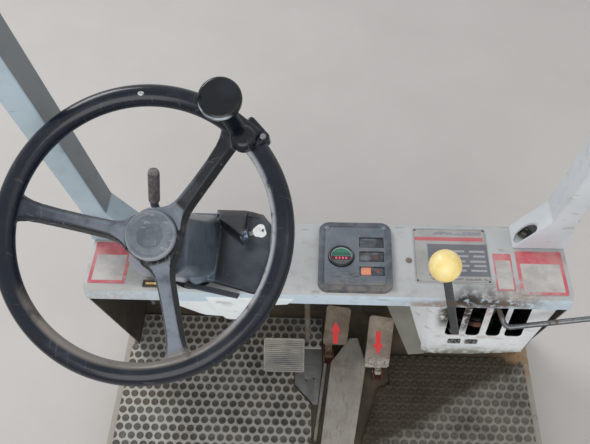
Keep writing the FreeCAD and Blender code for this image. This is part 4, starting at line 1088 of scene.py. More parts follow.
def column_cover():
    """Moulded cover: flat tray, hump round the column, shoulder and pod that carries the lock."""
    outline = [
        (COVER_X[0], COVER_Y[0] + 17), (-235, COVER_Y[0] + 6), (-190, 124), (-112, 100), (-95, 180),
        (-96, COVER_Y[1] - 20), (COVER_X[1] - 20, COVER_Y[1] + 3), (COVER_X[0], COVER_Y[1] + 3),
    ]
    tray = plate("tray", rounded(outline, [8, 10, 8, 7, 30, 6, 6, 8], 4), "Z", COVER_LOW + 3,
                 COVER_FLAT)
    softened(tray, 1.6, 3)
    rim = plate("tray_rim",
                [(HUMP_X[1] - 8, COVER_FLAT - 3), (-112, COVER_FLAT - 3), (-116, COVER_FLAT - 0.5),
                             (-128, COVER_FLAT + 5), (-142, COVER_FLAT + 9),
                 (HUMP_X[1] - 8, COVER_FLAT + 10)],
                "Y", COVER_Y[1] - 9, COVER_Y[1] + 3)
    hump = lofted("hump", hump_rings())
    dome = [(16, -14), (16, 0)] + arc_steps(16, 0.5, 15.7, 9)
    bulge = turned("bulge", dome, (-211, 129, COVER_FLAT + 12), (0.05, -0.12, 1), 36)
    plan = [(POD_X[0], POD_Y[1]), (POD_X[0], POD_Y[0] + 30), (-152, POD_Y[0]),
            (POD_X[1], POD_Y[0] - 14),
            (POD_X[1], POD_Y[1])]
    pod = plate("pod", plan, "Z", COVER_FLAT - 2, COVER_FLAT + POD_H)
    crown = [(180, 600), (180, COVER_FLAT + 21), (198, COVER_FLAT + 25), (222, COVER_FLAT + 26),
             (244, COVER_FLAT + 21), (COVER_Y[1] + 3, COVER_FLAT + 9), (COVER_Y[1] + 3, 600)]
    cut(pod, plate("crown", crown, "X", -220, -100), "INTERSECT")
    softened(pod, 2.5, 3)
    cover = moulded("cover_moulding", [tray, rim, hump, bulge, pod], 1.6, 4)
    cut(cover, turned("lever_way", [(17, 0), (17, 150)], COLUMN_LEVER_AT, (8, -7, 140), 40))
    cut(cover, turned("jacket_way", [(25, 0), (25, 330)], on_axis(400), AXIS, 40))
    f = Finish("cover_moulding", Specular_IOR_Level=0.35)
    up = f.facing("Z").between(0.3, 0.98)
    cloud = f.noise(46, 5, 0.65)
    f.base(cloud.between(0.35, 0.7), (44, 51, 60), (60, 67, 76))
    dusty = up * cloud.between(0.3, 0.75)
    f.over(dusty * 0.12, (120, 122, 126))
    brown = f.axis("Y").between(246, 266) * f.noise(20, 4, 0.6).between(0.3, 0.62) * 0.55
    f.over(brown, (120, 104, 92))
    light = 1 - f.axis("X").between(-184, -181)
    f.over(light * f.noise(14, 4, 0.65).between(0.2, 0.6) * 0.7, (100, 112, 124))
    # Painted highlight: pale lavender glare on the cover's left near part.
    flank = (1 - f.axis("X").between(-238, -226)) * (1 - f.axis("Y").between(176, 200))
    f.over(flank * 0.9, (160, 163, 172))
    # Painted shadow: black on the lower part of the tray's near side.
    skirt_shadow = (1 - f.axis("Z").between(643, 647)) * f.axis("X").between(-232, -226)
    f.over(skirt_shadow * 0.9, (14, 15, 18))
    # Painted sheen: a lighter bluish spot on the bulge's near side.
    tone_and_painted_light = f.spot((-211, 116, 664), 28, (1, 1, 1)).between(0.0, 0.5) * f.noise(12, 4,
                                                                               0.6).between(0.2,
                                                                                            0.55)
    f.over(tone_and_painted_light * 0.7, (120, 131, 146))
    # Painted shadow: a dark strip in the valley beside the hump's ridge.
    across = f.axis("X")
    valley_shadow = across.between(-183,
                                 -179) * (1 - across.between(-180, -160)) * f.axis("Y").between(118,
                                                                                                136)
    f.over(valley_shadow * (1 - f.axis("Y").between(214, 232)) * 0.85, (14, 16, 20))
    pod_top = f.patch((-188, -134), (196, 272), 3) * f.axis("Z").between(655, 658)
    f.over(pod_top * 0.8, (40, 37, 38))
    scratched = f.patch((-216, -187), (112, 256), 6) * (1 - f.axis("Z").between(676, 700))
    f.over(scratched * 0.5, (84, 98, 110))
    f.over(scratched * f.noise(6, 5, 0.7, (1, 0.5, 1)).between(0.5, 0.62) * 0.6, (150, 162, 172))
    hair = f.noise(16, 4, 0.7, (3.0, 0.7, 1.0)).between(0.66, 0.7)
    f.over(hair * 0.22, (128, 134, 140))
    rubbed = f.edge(2.5) * f.noise(14, 4).between(0.38, 0.58) * 0.45
    f.over(rubbed, (140, 144, 148))
    finish = f.finished(0.28 + dusty * 0.4 + hair * 0.2, f.noise(1.4, 2) + f.noise(9, 3), 0.1)
    fitted(smooth(cover, 40), finish, "black_plastic", BODY, "column_cover")
    strip = plate("cover_foot", [(-234, 116), (-143, 95), (-139, 104), (-230, 125)], "Z",
                  COVER_LOW + 0.3,
                  COVER_LOW + 3.5)
    softened(strip, 0.8, 2)
    fitted(strip, plastic("strip_grey", (58, 62, 68), (96, 100, 106), 0.4), "black_plastic", BODY)


def key():
    """Lock barrel on the pod's side and the key in it."""
    barrel = [(9.6, -6), (9.6, 6.5), (9.2, 7.6), (8.0, 8), (7.4, 7.2), (6.8, 6.8), (0.3, 6.8)]
    lock = turned("lock_barrel", barrel, KEY_FACE, KEY_OUT, 48)
    collar = turned("lock_collar", [(12, -4), (12, 1.2), (11.2, 2.2), (9.7, 2.4)], KEY_FACE,
                    KEY_OUT, 48)
    lock = joined("lock_barrel", [lock, collar])
    fitted(lock, steel("lock_chrome", (120, 136, 156), (60, 62, 66), 0.35, 0.16, 0.9),
           "key_plastic", BODY,
           "key_lock")
    side = KEY_OUT.cross(Vector((-0.23, -0.68, 0.70))).normalized()
    face = side.cross(KEY_OUT)
    middle = KEY_FACE + KEY_OUT * 27
    outline = rounded([(-11, -6), (3, -12), (11.5, -8.5), (11.5, 8.5), (3, 12), (-11, 6)],
                      [5, 7, 6, 6, 7, 5], 5)
    bow = plate("key_head", outline, "Z", -1.5, 1.5)
    cut(bow, turned("ring_hole", [(2.4, -5), (2.4, 5)], (6.5, 0, 0), sides=20))
    softened(bow, 0.9, 3)
    place = Matrix((KEY_OUT, side, face)).transposed().to_4x4()
    bow.data.transform(Matrix.Translation(middle / 1000) @ place)
    blade = bar("key_blade", KEY_FACE + KEY_OUT * 7, KEY_FACE + KEY_OUT * 18, 7, 2, side, 0.5)
    f = Finish("key_head")
    wear_and_highlight = f.noise(9, 4, 0.6)
    f.base(wear_and_highlight.between(0.45, 0.75), (240, 240, 240), (196, 197, 198))
    finish = f.finished(0.4 + wear_and_highlight * 0.2, wear_and_highlight, 0.1)
    fitted(outward(bow), finish, "key_plastic", BODY, "ignition_key")
    fitted(blade, steel("key_blade", (168, 168, 170), (110, 96, 80), 0.2), "key_plastic", BODY)


def catch():
    """Turn catch in its dark frame at the cowl's near edge."""
    x = (-304.0, -269.0)
    y = (COWL_NEAR + 4, COWL_NEAR + 17)
    z = COWL_TOP + 0.1
    frame_piece = block("catch_frame", x, y, (z, z + 4))
    pick(frame_piece, lambda at, way: way.z > 0.9)
    bpy.ops.mesh.inset(thickness=0.0018)
    drawn_out((0, 0, -2.4))
    done(frame_piece)
    softened(frame_piece, 0.5)
    fitted(smooth(frame_piece), enamel("catch_frame", (58, 52, 46), (74, 66, 56), grime=0.5),
           "catch_brass", BODY,
           "panel_catch")
    middle = sum(y) / 2
    tongue = block("catch_tongue", (x[0] + 4, x[1] - 8), (middle - 3, middle + 3),
                   (z + 1.7, z + 3.4))
    softened(tongue, 0.8)
    knob = turned("catch_knob", [(3.9, 1.4), (3.9, 5), (3.2, 6.4), (1.6, 7), (0.3, 7.1)],
                  (x[1] - 8, middle, z), sides=24)
    finish = steel("catch_brass", (176, 148, 104), (96, 74, 54), 0.35, 0.3, 0.8)
    fitted(joined("catch_knob", [knob, tongue]), finish, "catch_brass", BODY)


BOX_TOP_X = (126.0, 398.0)
BOX_LOW_X = (186.0, 363.0)
BOX_LOW = (430.0, 457.0)
BOX_DEPTH = 250.0
BOX_BEVEL = (66.0, 42.0)


def box_body(name, m, brow):
    """The lever box's outside, or its inside where m is the wall."""
    top = COWL_TOP - COWL_T - 0.3
    low = BOX_LOW[0] + m - 5
    face = BOX_FACE + m
    far = BOX_DEPTH + (5 if m else 0)
    side = [
        (face, top - brow), (face, COWL_TOP - COWL_LIP), (face + 5, low), (far, low),
        (far, top + m),
        (face + brow, top + m),
    ]
    front = [
        (BOX_TOP_X[0] + m, top + m), (BOX_LOW_X[0] + m, low),
        (BOX_LOW_X[1] - m, BOX_LOW[1] + m - 8),
        (BOX_TOP_X[1] - m, top + m),
    ]
    body = plate(name, rounded(side, [0, 0, 14 - m, 0, 0, 0], 8), "X", BOX_TOP_X[0], BOX_TOP_X[1])
    cut(body, plate("front", rounded(front, [0, 12 - m, 10 - m, 0], 6), "Y", 0, BOX_DEPTH + 10),
        "INTERSECT")
    near = Vector((BOX_TOP_X[0] + BOX_BEVEL[0], BOX_FACE))
    along = Vector((BOX_BEVEL[0], -BOX_BEVEL[1])).normalized()
    inward = Vector((BOX_BEVEL[1], BOX_BEVEL[0])).normalized()
    end = near + along * 60 + inward * m
    start = near - along * 160 + inward * m
    return cut(body,
               plate("bevel", [start, end, end - inward * 100, start - inward * 100], "Z", 400,
                     COWL_TOP + 10))


def lever_box():
    """Hollow moulded box under the lip with its four lever slots."""
    obj = box_body("box_moulding", 0, COWL_BEND)
    pick(obj, lambda at, way: at.y < BOX_FACE + 8 and at.z < COWL_TOP - 20 and abs(way.z) > 0.6,
         "EDGE")
    bpy.ops.mesh.bevel(offset=0.009, segments=4)
    done(obj)
    cut(obj, box_body("inside", 3, COWL_BEND + 1))
    for x, width in zip(LEVER_X, SLOT_W):
        outline = [
            (x - width / 2, SLOT_Z[1]), (x - width / 2, SLOT_Z[0]), (x + width / 2, SLOT_Z[0]),
            (x + width / 2, SLOT_Z[1]),
        ]
        cut(obj,
            plate("slot", rounded(outline, [0, 8, 8, 0], 5), "Y", BOX_FACE - 10, BOX_FACE + 22))
    softened(obj, 0.8, 2, 50)
    marks = []
    for x, strength in ((212, 0.75), (242, 0.9), (276, 0.7), (300, 0.35)):
        marks.append(((x, BOX_FACE, 585), 40, (128, 98, 76), strength, (1.8, 1, 0.7)))
        marks.append(((x, BOX_FACE, 500), 20, (138, 108, 84), strength * 0.7, (0.8, 1, 1.6)))
    marks.append(((242, BOX_FACE, 572), 52, (44, 41, 39), 1.5, (3.2, 1, 0.6)))
    marks.append(((206, BOX_FACE, 574), 48, (66, 60, 56), 1.2, (2.2, 1, 0.7)))
    # Painted shade: greenish grey across the bottom of the face, where it curves under.
    marks.append(((262, BOX_FACE, 426), 46, (122, 122, 110), 1.6, (0.2, 1, 1)))
    box_paint = enamel("box_white", (220, 223, 225), (206, 209, 211), (120, 100, 84),
                       (120, 108, 94), 0.16, 0.25,
                       marks)
    # Painted shade: the inside is near black, as the shade seen through the slots.
    dark = Finish("box_inside_shaded")
    dark.base(dark.noise(30, 3), (14, 13, 12), (24, 22, 20))
    dark.finished(0.85)
    fitted(smooth(obj), box_paint, "box_white", BODY, "lever_box")
    obj.data.materials.append(dark.material)
    probe = box_body("probe", 1.5, 0)
    for face in obj.data.polygons:
        _, near, way, _ = probe.closest_point_on_mesh(face.center)
        if (face.center - near).dot(way) < 0:
            face.material_index = 1
    bpy.data.objects.remove(probe)
    corners = [(84, 154.7, 620), (131, 152, 620), (186, 121, 427), (156, 120, 423)]
    flank = lofted("box_flank", [corners, [(x, y + 3, z) for x, y, z in corners]])
    softened(flank, 0.8, 2)
    # Painted shade: the flank's white paint is given as dark grey.
    fitted(flank, enamel("flank_white_shaded", (120, 120, 112), (104, 104, 96), grime=0.3, wear=0.2),
           "box_white", BODY)
    for k, x in enumerate((232.0, 262.0)):
        label = plate("lever_label_%d" % k,
                      rounded(rectangle((x - 11, x + 11), (478, 491)), [1.5] * 4, 3), "Y",
                      BOX_FACE + 1.2, BOX_FACE + 3.6)
        f = Finish("lever_label_%d" % k)
        wear_and_highlight = f.noise(5, 4, 0.7)
        f.base(wear_and_highlight.between(0.5, 0.6), (44, 44, 46), (150, 150, 150))
        finish = f.finished(0.5 + wear_and_highlight * 0.3)
        fitted(label, finish, "box_white", BODY)


LEVER_PIVOT = (172.0, 466.0)
LEVER_W = 13.0
LEVER_T = 8.0


def lever_hub(name, pivot):
    """Boss that turns on the levers' pin."""
    return turned(name, [(12, -6.5), (13, -5.5), (13, 5.5), (12, 6.5)], pivot, RIGHT, 32)


def levers():
    """Flat lift lever with its ball, the seized stub and the bent round lever with its knob."""
    iron = steel("lever_iron", (104, 107, 110), (84, 76, 70), 0.45, 0.42, 0.7, (0.4, 0.4, 3))
    x = LEVER_X[0]
    pivot = Vector((x, *LEVER_PIVOT))
    bend = Vector((x, 97, 545))
    low = bar("lift_bar", pivot, bend + (bend - pivot).normalized() * 3, LEVER_W, LEVER_T, RIGHT, 2)
    up = bar("lift_bar_up", bend, BALL_AT, LEVER_W, LEVER_T, RIGHT, 2.6)
    hub = lever_hub("lift_hub", pivot)
    lift = joined("lift_bar", [up, low, hub])
    fitted(lift, iron, "bare_steel", "lift", "lift_lever")
    steps = [(8.5, -30), (9.5, -29), (9.5, -25), (11, -23.2)]
    steps += arc_steps(BALL_R, -22, -0.35, 9) + [(BALL_R - 0.25, -0.2), (BALL_R - 0.25, 0.2)]
    steps += arc_steps(BALL_R, 0.35, BALL_R - 0.01, 12)
    grip = turned("lift_grip", steps, BALL_AT, BALL_AT - bend, 56)
    f = Finish("ball_yellow", Coat_Weight=0.15)
    cloud = f.noise(22, 4, 0.6)
    f.base(cloud.between(0.42, 0.72), (252, 230, 160), (246, 216, 134))
    smudge = f.noise(9, 5, 0.7).between(0.58, 0.72) * 0.35
    f.over(smudge, (188, 160, 98))
    # Painted shade: the lower part of the ball is darker.
    below = (1 - f.axis("Z").between(BALL_AT.z - 24, BALL_AT.z - 12)) * 0.4
    f.over(below, (196, 160, 90))
    finish = f.finished(0.3 + cloud * 0.2, f.noise(6, 4) + f.noise(1.2, 2) * 0.4, 0.08)
    fitted(smooth(grip, 60), finish, "yellow_plastic", "lift", "lift_ball")

    x = LEVER_X[1]
    pivot = Vector((x, *LEVER_PIVOT))
    stub = bar("stub_bar", pivot, (x, 104, 560), LEVER_W, LEVER_T, RIGHT, 2)
    hub = lever_hub("stub_hub", pivot)
    rusty = steel("stub_rust", (112, 82, 72), (92, 60, 48), 0.9, 0.5, 0.4)
    fitted(joined("stub_bar", [stub, hub]), rusty, "bare_steel", BODY, "lever_stub")

    x = LEVER_X[2]
    pivot = Vector((x, *LEVER_PIVOT))
    low = bar("bent_foot", pivot, (x - 4, 128, 594), LEVER_W, LEVER_T, RIGHT, 2)
    hub = lever_hub("bent_hub", pivot)
    route = [(290, 128, 592), (303, 92, 572), (430, 85, 618), (500, 82, 642)]
    bent = rod("bent_bar", eased(route, 12), 4.5)
    bright = steel("bent_steel", (122, 124, 126), (86, 74, 64), 0.4, 0.32, 0.85, (3, 0.4, 0.4))
    fitted(joined("bent_bar", [bent, low, hub]), bright, "bare_steel", "auxiliary", "bent_lever")
    end = Vector(route[-1])
    along = (end - Vector(route[-2])).normalized()
    r = 17.0
    steps = [(6.5, -r - 3), (7.5, -r - 2), (7.5, -r + 1.2)] + arc_steps(r, -15, -0.3, 8)
    steps += [(r - 0.2, -0.15), (r - 0.2, 0.15)] + arc_steps(r, 0.3, r - 0.01, 9)
    knob = turned("bent_grip", steps, end + along * (r + 0.1), along, 44)
    fitted(smooth(knob, 60), plastic("grip_black", (30, 31, 33), (90, 90, 92), 0.2, 3),
           "black_plastic",
           "auxiliary", "bent_knob")
    repaint("lever_bracket", enamel("bracket_paint", (52, 52, 52), (70, 66, 60), grime=0.6))


def knee_shroud():
    """Pressed apron under the cowl: rounded corners, open behind."""
    top = COWL_TOP - COWL_T - 0.3 - COWL_BEND
    left = WHEEL.x - 66
    right = WHEEL.x + 142
    near = COWL_NEAR + COWL_T + 0.3
    low = COWL_TOP - 95
    short = COWL_TOP - 35

    def body(name, m, over):
        outline = [
            (left + m, top + over), (left + m, short), (WHEEL.x + 12, low + 9 + m),
            (right - 20 - m, low + m),
            (right - m, short), (right - m, top + over),
        ]
        return plate(name, rounded(outline, [0, 18, 40, 22, 22, 0], 8), "Y", near + m,
                     near + 52 + over)

    obj = body("apron_pressing", 0, 0)
    pick(obj, lambda at, way: at.y < near + 1 and at.z < top - 1, "EDGE")
    bpy.ops.mesh.bevel(offset=0.009, segments=4)
    done(obj)
    cut(obj, body("inside", 3, 5))
    step = [(-201, 618), (-197, 602), (-187, 572), (-170, 548), (-108, 547), (-96, 560), (-87, 596),
            (-62, 599),
            (-52, 613), (-50, 618)]
    pan = plate("apron_step", rounded(step, [0, 10, 14, 12, 8, 12, 8, 4, 4, 0], 5), "Y", near - 4,
                near + 1)
    softened(pan, 3, 3)
    obj = joined("apron_pressing", [obj, pan])
    finish = enamel("apron_white", (232, 238, 240), (220, 226, 229), grime=0.2, wear=0.2)
    fitted(smooth(obj), finish, "box_white", BODY, "knee_shroud")


PANEL_X = (-12.0, 112.0)
PANEL_Y = (111.5, 254.0)
PANEL_H = 10.0
GAUGE_AT = (26.5, 180.0)
GAUGE_R = 22.0
WINDOWS = (
    # solid's name, x, y
    ("lamp_far", (57.0, 99.0), (200.0, 223.0)),
    ("lamp_mid", (57.0, 99.0), (170.0, 193.0)),
    ("lamp_near", (57.0, 99.0), (142.0, 161.0)),
)


def panel():
    """Bezel with a raised rim, the round gauge, three lamp windows and two screws."""
    outline = rounded(rectangle(PANEL_X, PANEL_Y), [18] * 4, 9)
    bezel = plate("panel_bezel", outline, "Z", COWL_TOP + 0.3, COWL_TOP + PANEL_H)
    pick(bezel, lambda at, way: way.z > 0.9)
    bpy.ops.mesh.inset(thickness=0.0075)
    bpy.ops.mesh.inset(thickness=0.0012)
    drawn_out((0, 0, -1.6))
    bpy.ops.mesh.inset(thickness=0.0022)
    bpy.ops.mesh.inset(thickness=0.0006)
    drawn_out((0, 0, 1.2))
    done(bezel)
    softened(bezel, 1.6, 3, 50)
    centre = (*GAUGE_AT, COWL_TOP)
    cut(bezel, turned("gauge_way", [(GAUGE_R + 0.3, 0), (GAUGE_R + 0.3, 20)], centre, sides=64))
    for _, x, y in WINDOWS:
        cut(bezel, block("window", x, y, (COWL_TOP + 4, COWL_TOP + 20)))
    softened(bezel, 0.5, 1, 60)
    f = Finish("bezel_grey")
    cloud = f.noise(30, 5, 0.65)
    inner = f.patch((PANEL_X[0] + 10, PANEL_X[1] - 10), (PANEL_Y[0] + 10, PANEL_Y[1] - 10), 1.0)
    f.base(inner, (66, 72, 80), (92, 99, 107))
    f.over(cloud.between(0.4, 0.72) * 0.5, (122, 126, 131))
    low_dust = (1 - f.axis("Y").between(118, 136)) * cloud.between(0.35, 0.6) * 0.6
    f.over(low_dust, (126, 116, 106))
    scuff = f.spot((38, 140, 643), 26, (0.5, 1.2, 1)) * f.noise(5, 4, 0.7,
                                                                (0.4, 1.6, 1)).between(0.45, 0.6)
    f.over(scuff * 0.8, (48, 50, 54))
    rubbed = f.edge(1.2) * cloud.between(0.35, 0.6) * 0.8
    f.over(rubbed, (168, 174, 180))
    finish = f.finished(0.42 + cloud * 0.25, f.noise(1.3, 2) + f.noise(12, 3) * 0.5, 0.08)
    fitted(smooth(bezel), finish, "black_plastic", BODY, "instrument_bezel")
    gauge(centre)
    for name, x, y in WINDOWS:
        window(name, x, y)
    heads = []
    for x, y in ((1.5, 241), (100, 242)):
        steps = [(3.9, 0), (4.3, 0.8), (3.9, 1.9), (2.6, 2.5), (0.3, 2.6)]
        heads.append(turned("panel_screw", steps, (x, y, COWL_TOP + PANEL_H - 1.4), sides=24))
    fitted(joined("panel_screws", heads), plastic("screw_grey", (104, 112, 126), (140, 146, 156)),
           "black_plastic",
           BODY)


def gauge(centre):
    """Hour gauge: black ring round a face with a green band and a row of lit figures."""
    ring = turned("gauge_ring", [
        (GAUGE_R - 0.2, 2), (GAUGE_R - 0.2, 11.4), (GAUGE_R - 0.9, 12.6), (GAUGE_R - 2.2, 13),
        (GAUGE_R - 3.6, 12.6),
        (GAUGE_R - 4.4, 11.2), (GAUGE_R - 4.6, 9.6), (GAUGE_R - 4.8, 9.4), (0.3, 9.4)], centre,
                  sides=72)
    f = Finish("gauge_face")
    x = f.axis("X") - centre[0]
    y = f.axis("Y") - centre[1]
    radius = x * x + y * y
    face = 1 - radius.between((GAUGE_R - 5.2) ** 2, (GAUGE_R - 4.9) ** 2)
    bright = radius.between((GAUGE_R - 5.2) ** 2, (GAUGE_R - 4.8) ** 2)
    bright = bright * (1 - radius.between((GAUGE_R - 4.5) ** 2, (GAUGE_R - 4.1) ** 2))
    f.base(face, (16, 18, 21), (84, 88, 92))
    f.over(face * y.between(1.0, 1.8), (52, 118, 96))
    f.over(face * y.between(2.6, 3.2) * (1 - y.between(8.2, 8.8)), (36, 92, 76))
    strip = face * (1 - y.between(0.4, 1.0)) * y.between(-7.2, -6.6)
    f.over(strip, (74, 26, 34))
    f.over(bright, (176, 184, 186))
    finish = f.finished(0.25 + f.noise(8, 3) * 0.2)
    fitted(smooth(ring, 30), finish, "gauge_plastic", BODY, "hour_gauge")
    figures = []
    for k in range(4):
        text = added("figure", bpy.ops.object.text_add)
        text.data.body = "0"
        text.data.size = 0.0062
        text.data.extrude = 0.0001
        text.data.align_x = "CENTER"
        only(text)
        bpy.ops.object.convert(target="MESH")
        text = bpy.context.object
        x = centre[0] - 8.4 + 5.6 * k
        text.data.transform(Matrix.Translation(Vector((x, centre[1] - 5.2,
                                                       centre[2] + 9.6)) / 1000))
        figures.append(outward(text))
    f = Finish("figures_lit", Emission_Strength=1.0)
    f.feed(f.shader.inputs["Emission Color"], ink(236, 84, 112))
    glow = f.noise(3, 2)
    f.colour = ink(240, 120, 140)
    fitted(joined("gauge_figures", figures), f.finished(0.4 + glow * 0.1), "gauge_plastic", BODY)


def window(name, x, y):
    """Recessed lamp lens with a paler streak near its far edge, and its own tint."""
    lens = block(name + "_lens", (x[0] + 0.3, x[1] - 0.3), (y[0] + 0.3, y[1] - 0.3),
                 (COWL_TOP + 4.3, COWL_TOP + 6.6))
    pick(lens, lambda at, way: way.z > 0.9)
    bpy.ops.mesh.inset(thickness=0.0016)
    drawn_out((0, 0, 0.9))
    done(lens)
    softened(lens, 0.4, 2)
    f = Finish(name + "_lens")
    cloud = f.noise(9, 4, 0.65)
    f.base(cloud.between(0.35, 0.7), (46, 48, 52), (84, 88, 94))
    if name == "lamp_near":
        f.over(f.patch((x[0] + 3, x[0] + 19), (y[0] + 2, y[1] - 1)), (222, 142, 104))
        f.over(f.spot((x[1] - 11, sum(y) / 2 + 1, COWL_TOP + 7.5), 4.5), (176, 44, 64))
    if name == "lamp_mid":
        f.over(f.spot((x[1] - 15, sum(y) / 2, COWL_TOP + 7.5), 8) * 0.8, (112, 58, 62))
        f.over(f.spot((x[0] + 12, sum(y) / 2 - 2, COWL_TOP + 7.5), 11) * 0.7, (116, 122, 128))
    streak = f.patch((x[0] + 4, x[1] - 4), (y[1] - 6, y[1] - 3), 1.2) * f.noise(12, 3).between(0.4,
                                                                                               0.6)
    f.over(streak * 0.5, (120, 126, 132))
    fitted(smooth(lens), f.finished(0.22 + cloud * 0.2, cloud, 0.05), "lamp_lens", BODY, name)


LABEL_Z = COWL_TOP + 0.1


def label(name, x, y, header, border):
    """Blank label with a red header and border, rubbed thin in places."""
    obj = plate(name, rounded(rectangle(x, y), [2] * 4, 4), "Z", LABEL_Z, LABEL_Z + 0.5)
    f = Finish(name)
    fade = f.noise(40, 4, 0.6)
    red = f.mix(fade.between(0.35, 0.7), ink(188, 82, 94), ink(198, 132, 132))
    field = f.patch((x[0] + border, x[1] - border), (y[0] + border, y[1] - header), 0.4)
    pale = f.mix(fade.between(0.4, 0.65), ink(190, 185, 181), ink(170, 165, 161))
    f.colour = f.mix(field, red, pale)
    wear_and_highlight = (f.noise(18, 6, 0.7) + f.noise(70, 2) * 0.4).between(0.78, 0.86) * 0.85
    f.over(wear_and_highlight, (168, 166, 163))
    dirt = f.noise(12, 5, 0.7).between(0.56, 0.7) * 0.4
    f.over(dirt, (130, 118, 108))
    fitted(obj, f.finished(0.5 + fade * 0.2, wear_and_highlight, 0.05), "cowl_paint", BODY)


def plates():
    """Blank data plate with its stripe, fields and screws, and the blank labels."""
    x = (150.0, 276.0)
    y = (136.0, 251.0)
    z = (COWL_TOP + 0.1, COWL_TOP + 1.1)
    obj = plate("data_sheet", rounded(rectangle(x, y), [3] * 4, 4), "Z", *z)
    softened(obj, 0.25, 1)
    f = Finish("data_sheet")
    cloud = f.noise(50, 4, 0.6)
    f.base(cloud.between(0.35, 0.7), (168, 167, 166), (154, 152, 150))
    line = (f.patch((x[0] + 2, x[1] - 2), (y[0] + 2, y[1] - 2), 0.3)
            - f.patch((x[0] + 3.2, x[1] - 3.2), (y[0] + 3.2, y[1] - 3.2), 0.3))
    f.over(line * 0.6, (104, 104, 108))
    dark = f.patch((x[0] + 24, x[1] - 1), (y[0] + 14, y[1] - 34), 0.6)
    f.over(dark * (0.72 + cloud * 0.2), (92, 94, 104))
    stripe = f.patch((x[0] + 3, x[1] - 6), (y[1] - 27, y[1] - 19), 0.6)
    f.over(stripe * (0.75 + cloud * 0.3), (190, 92, 96))
    band = f.patch((x[0] + 34, x[1] - 8), (y[1] - 14, y[1] - 7), 0.8)
    band = band * f.noise(7, 3, 0.6, (0.5, 1, 1)).between(0.4, 0.5)
    f.over(band * 0.5, (108, 112, 128))
    for row, low in enumerate((160, 170, 179, 190, 200)):
        left = x[0] + 58 + 6 * (row % 2)
        fields = f.patch((left, left + 28), (low, low + 4),
                         0.4).most(f.patch((left + 36, x[1] - 6), (low, low + 4), 0.4))
        f.over(fields * 0.85, (170, 170, 172))
    foot = f.patch((x[0] + 26, x[1] - 6), (y[0] + 6, y[0] + 10), 0.6)
    f.over(foot * f.noise(6, 3, 0.6).between(0.42, 0.5) * 0.7, (96, 96, 102))
    dirt = f.noise(16, 5, 0.7).between(0.58, 0.72) * 0.4
    f.over(dirt, (122, 112, 104))
    fitted(obj, f.finished(0.42 + cloud * 0.25, cloud, 0.06, 0.15), "plate_metal", BODY,
           "data_plate")
    rivets = []
    for px, py in rectangle((x[0] + 4, x[1] - 4), (y[0] + 4, y[1] - 4)):
        rivets.append(turned("plate_rivet", [(1.9, 0), (1.7, 0.8), (1, 1.2), (0.2, 1.3)],
                             (px, py, z[1] - 0.1), sides=16))
    fitted(joined("plate_rivets", rivets), steel("rivet", (96, 94, 92), (80, 66, 56), 0.5),
           "plate_metal", BODY)
    screw = turned("cowl_screw", [(5.2, 0), (5.2, 1.2), (4.4, 2.6), (2.2, 3.3), (0.3, 3.4)],
                   (141, 181, COWL_TOP), sides=28)
    fitted(screw, steel("cowl_screw", (150, 146, 138), (120, 110, 96), 0.6, 0.5, 0.5), "cowl_paint",
           BODY)
    label("label_left", (6 - COWL_HALF, -335), (121, 207), 27, 6)
    label("label_narrow", (283, 313), (124, 199), 14, 2.4)
    label("label_right", (321, 398), (117, 205), 26, 5.5)


def brake():
    """Ribbed rubber pad on its plate, and the bent arm behind it."""
    w = BRAKE_W / 2
    length = BRAKE_L / 2
    base = block("brake_rubber", (-w, w), (-length, length), (-BRAKE_T, -1.8))
    softened(base, 2.2, 3)
    parts = [base]
    ribs = 15
    pitch = (BRAKE_L - 11) / ribs
    for k in range(ribs):
        low = -length + 5.5 + pitch * k
        rib = block("brake_rib", (5.5 - w, w - 5.5), (low, low + pitch * 0.62), (-2.6, -0.2))
        parts.append(softened(rib, 0.7, 2))
    for x, y in (((-w, w), (-length, -length + 4)), ((-w, w), (length - 4, length)),
                 ((-w, -w + 4), (-length, length)), ((w - 4, w), (-length, length))):
        parts.append(softened(block("brake_rim", x, y, (-3, 0)), 1.1, 3))
    pad = posed(joined("brake_rubber", parts), BRAKE_AT, BRAKE_SLOPE)
    f = Finish("brake_rubber")
    cloud = f.noise(30, 5, 0.65)
    streak = f.noise(12, 4, 0.65, (0.25, 2.4, 1))
    share = (cloud * 0.6 + streak * 0.6).between(0.42, 0.72)
    f.base(share, (120, 118, 111), (160, 157, 149))
    wear = f.spot((-90, 224, 188), 52, (0.8, 1.7, 1.7)) * streak.between(0.35, 0.55)
    f.over(wear * 0.85, (78, 84, 92))
    rim = f.edge(1.5) * 0.4
    f.over(rim, (156, 153, 144))
    finish = f.finished(0.7 + share * 0.15, streak + f.noise(2, 3) * 0.5, 0.3)
    fitted(smooth(pad), finish, "pad_rubber", "brake", "brake_pad")
    back = BRAKE_T + BRAKE_ARM_R + 0.1
    turn = Matrix.Rotation(math.radians(BRAKE_SLOPE), 4, "X")
    seat = BRAKE_AT + turn @ Vector((BRAKE_ARM_X - BRAKE_AT.x, 34, -back))
    end = BRAKE_AT + turn @ Vector((0, 10, -back))
    y, z = BRAKE_PIVOT
    route = eased([(BRAKE_ARM_X, y, z), (BRAKE_ARM_X, 292, 300), seat, end], 16, 8)
    arm = rod("brake_bar", route, BRAKE_ARM_R)
    boss = turned("brake_boss", [(12.6, -14), (14, -12.8), (14, 12.8), (12.6, 14)],
                  (BRAKE_ARM_X, y, z), RIGHT, 40)
    finish = steel("brake_steel", (124, 122, 116), (92, 82, 70), 0.55, 0.5, 0.4)
    fitted(joined("brake_bar", [arm, boss]), finish, "control_paint", "brake", "brake_arm")


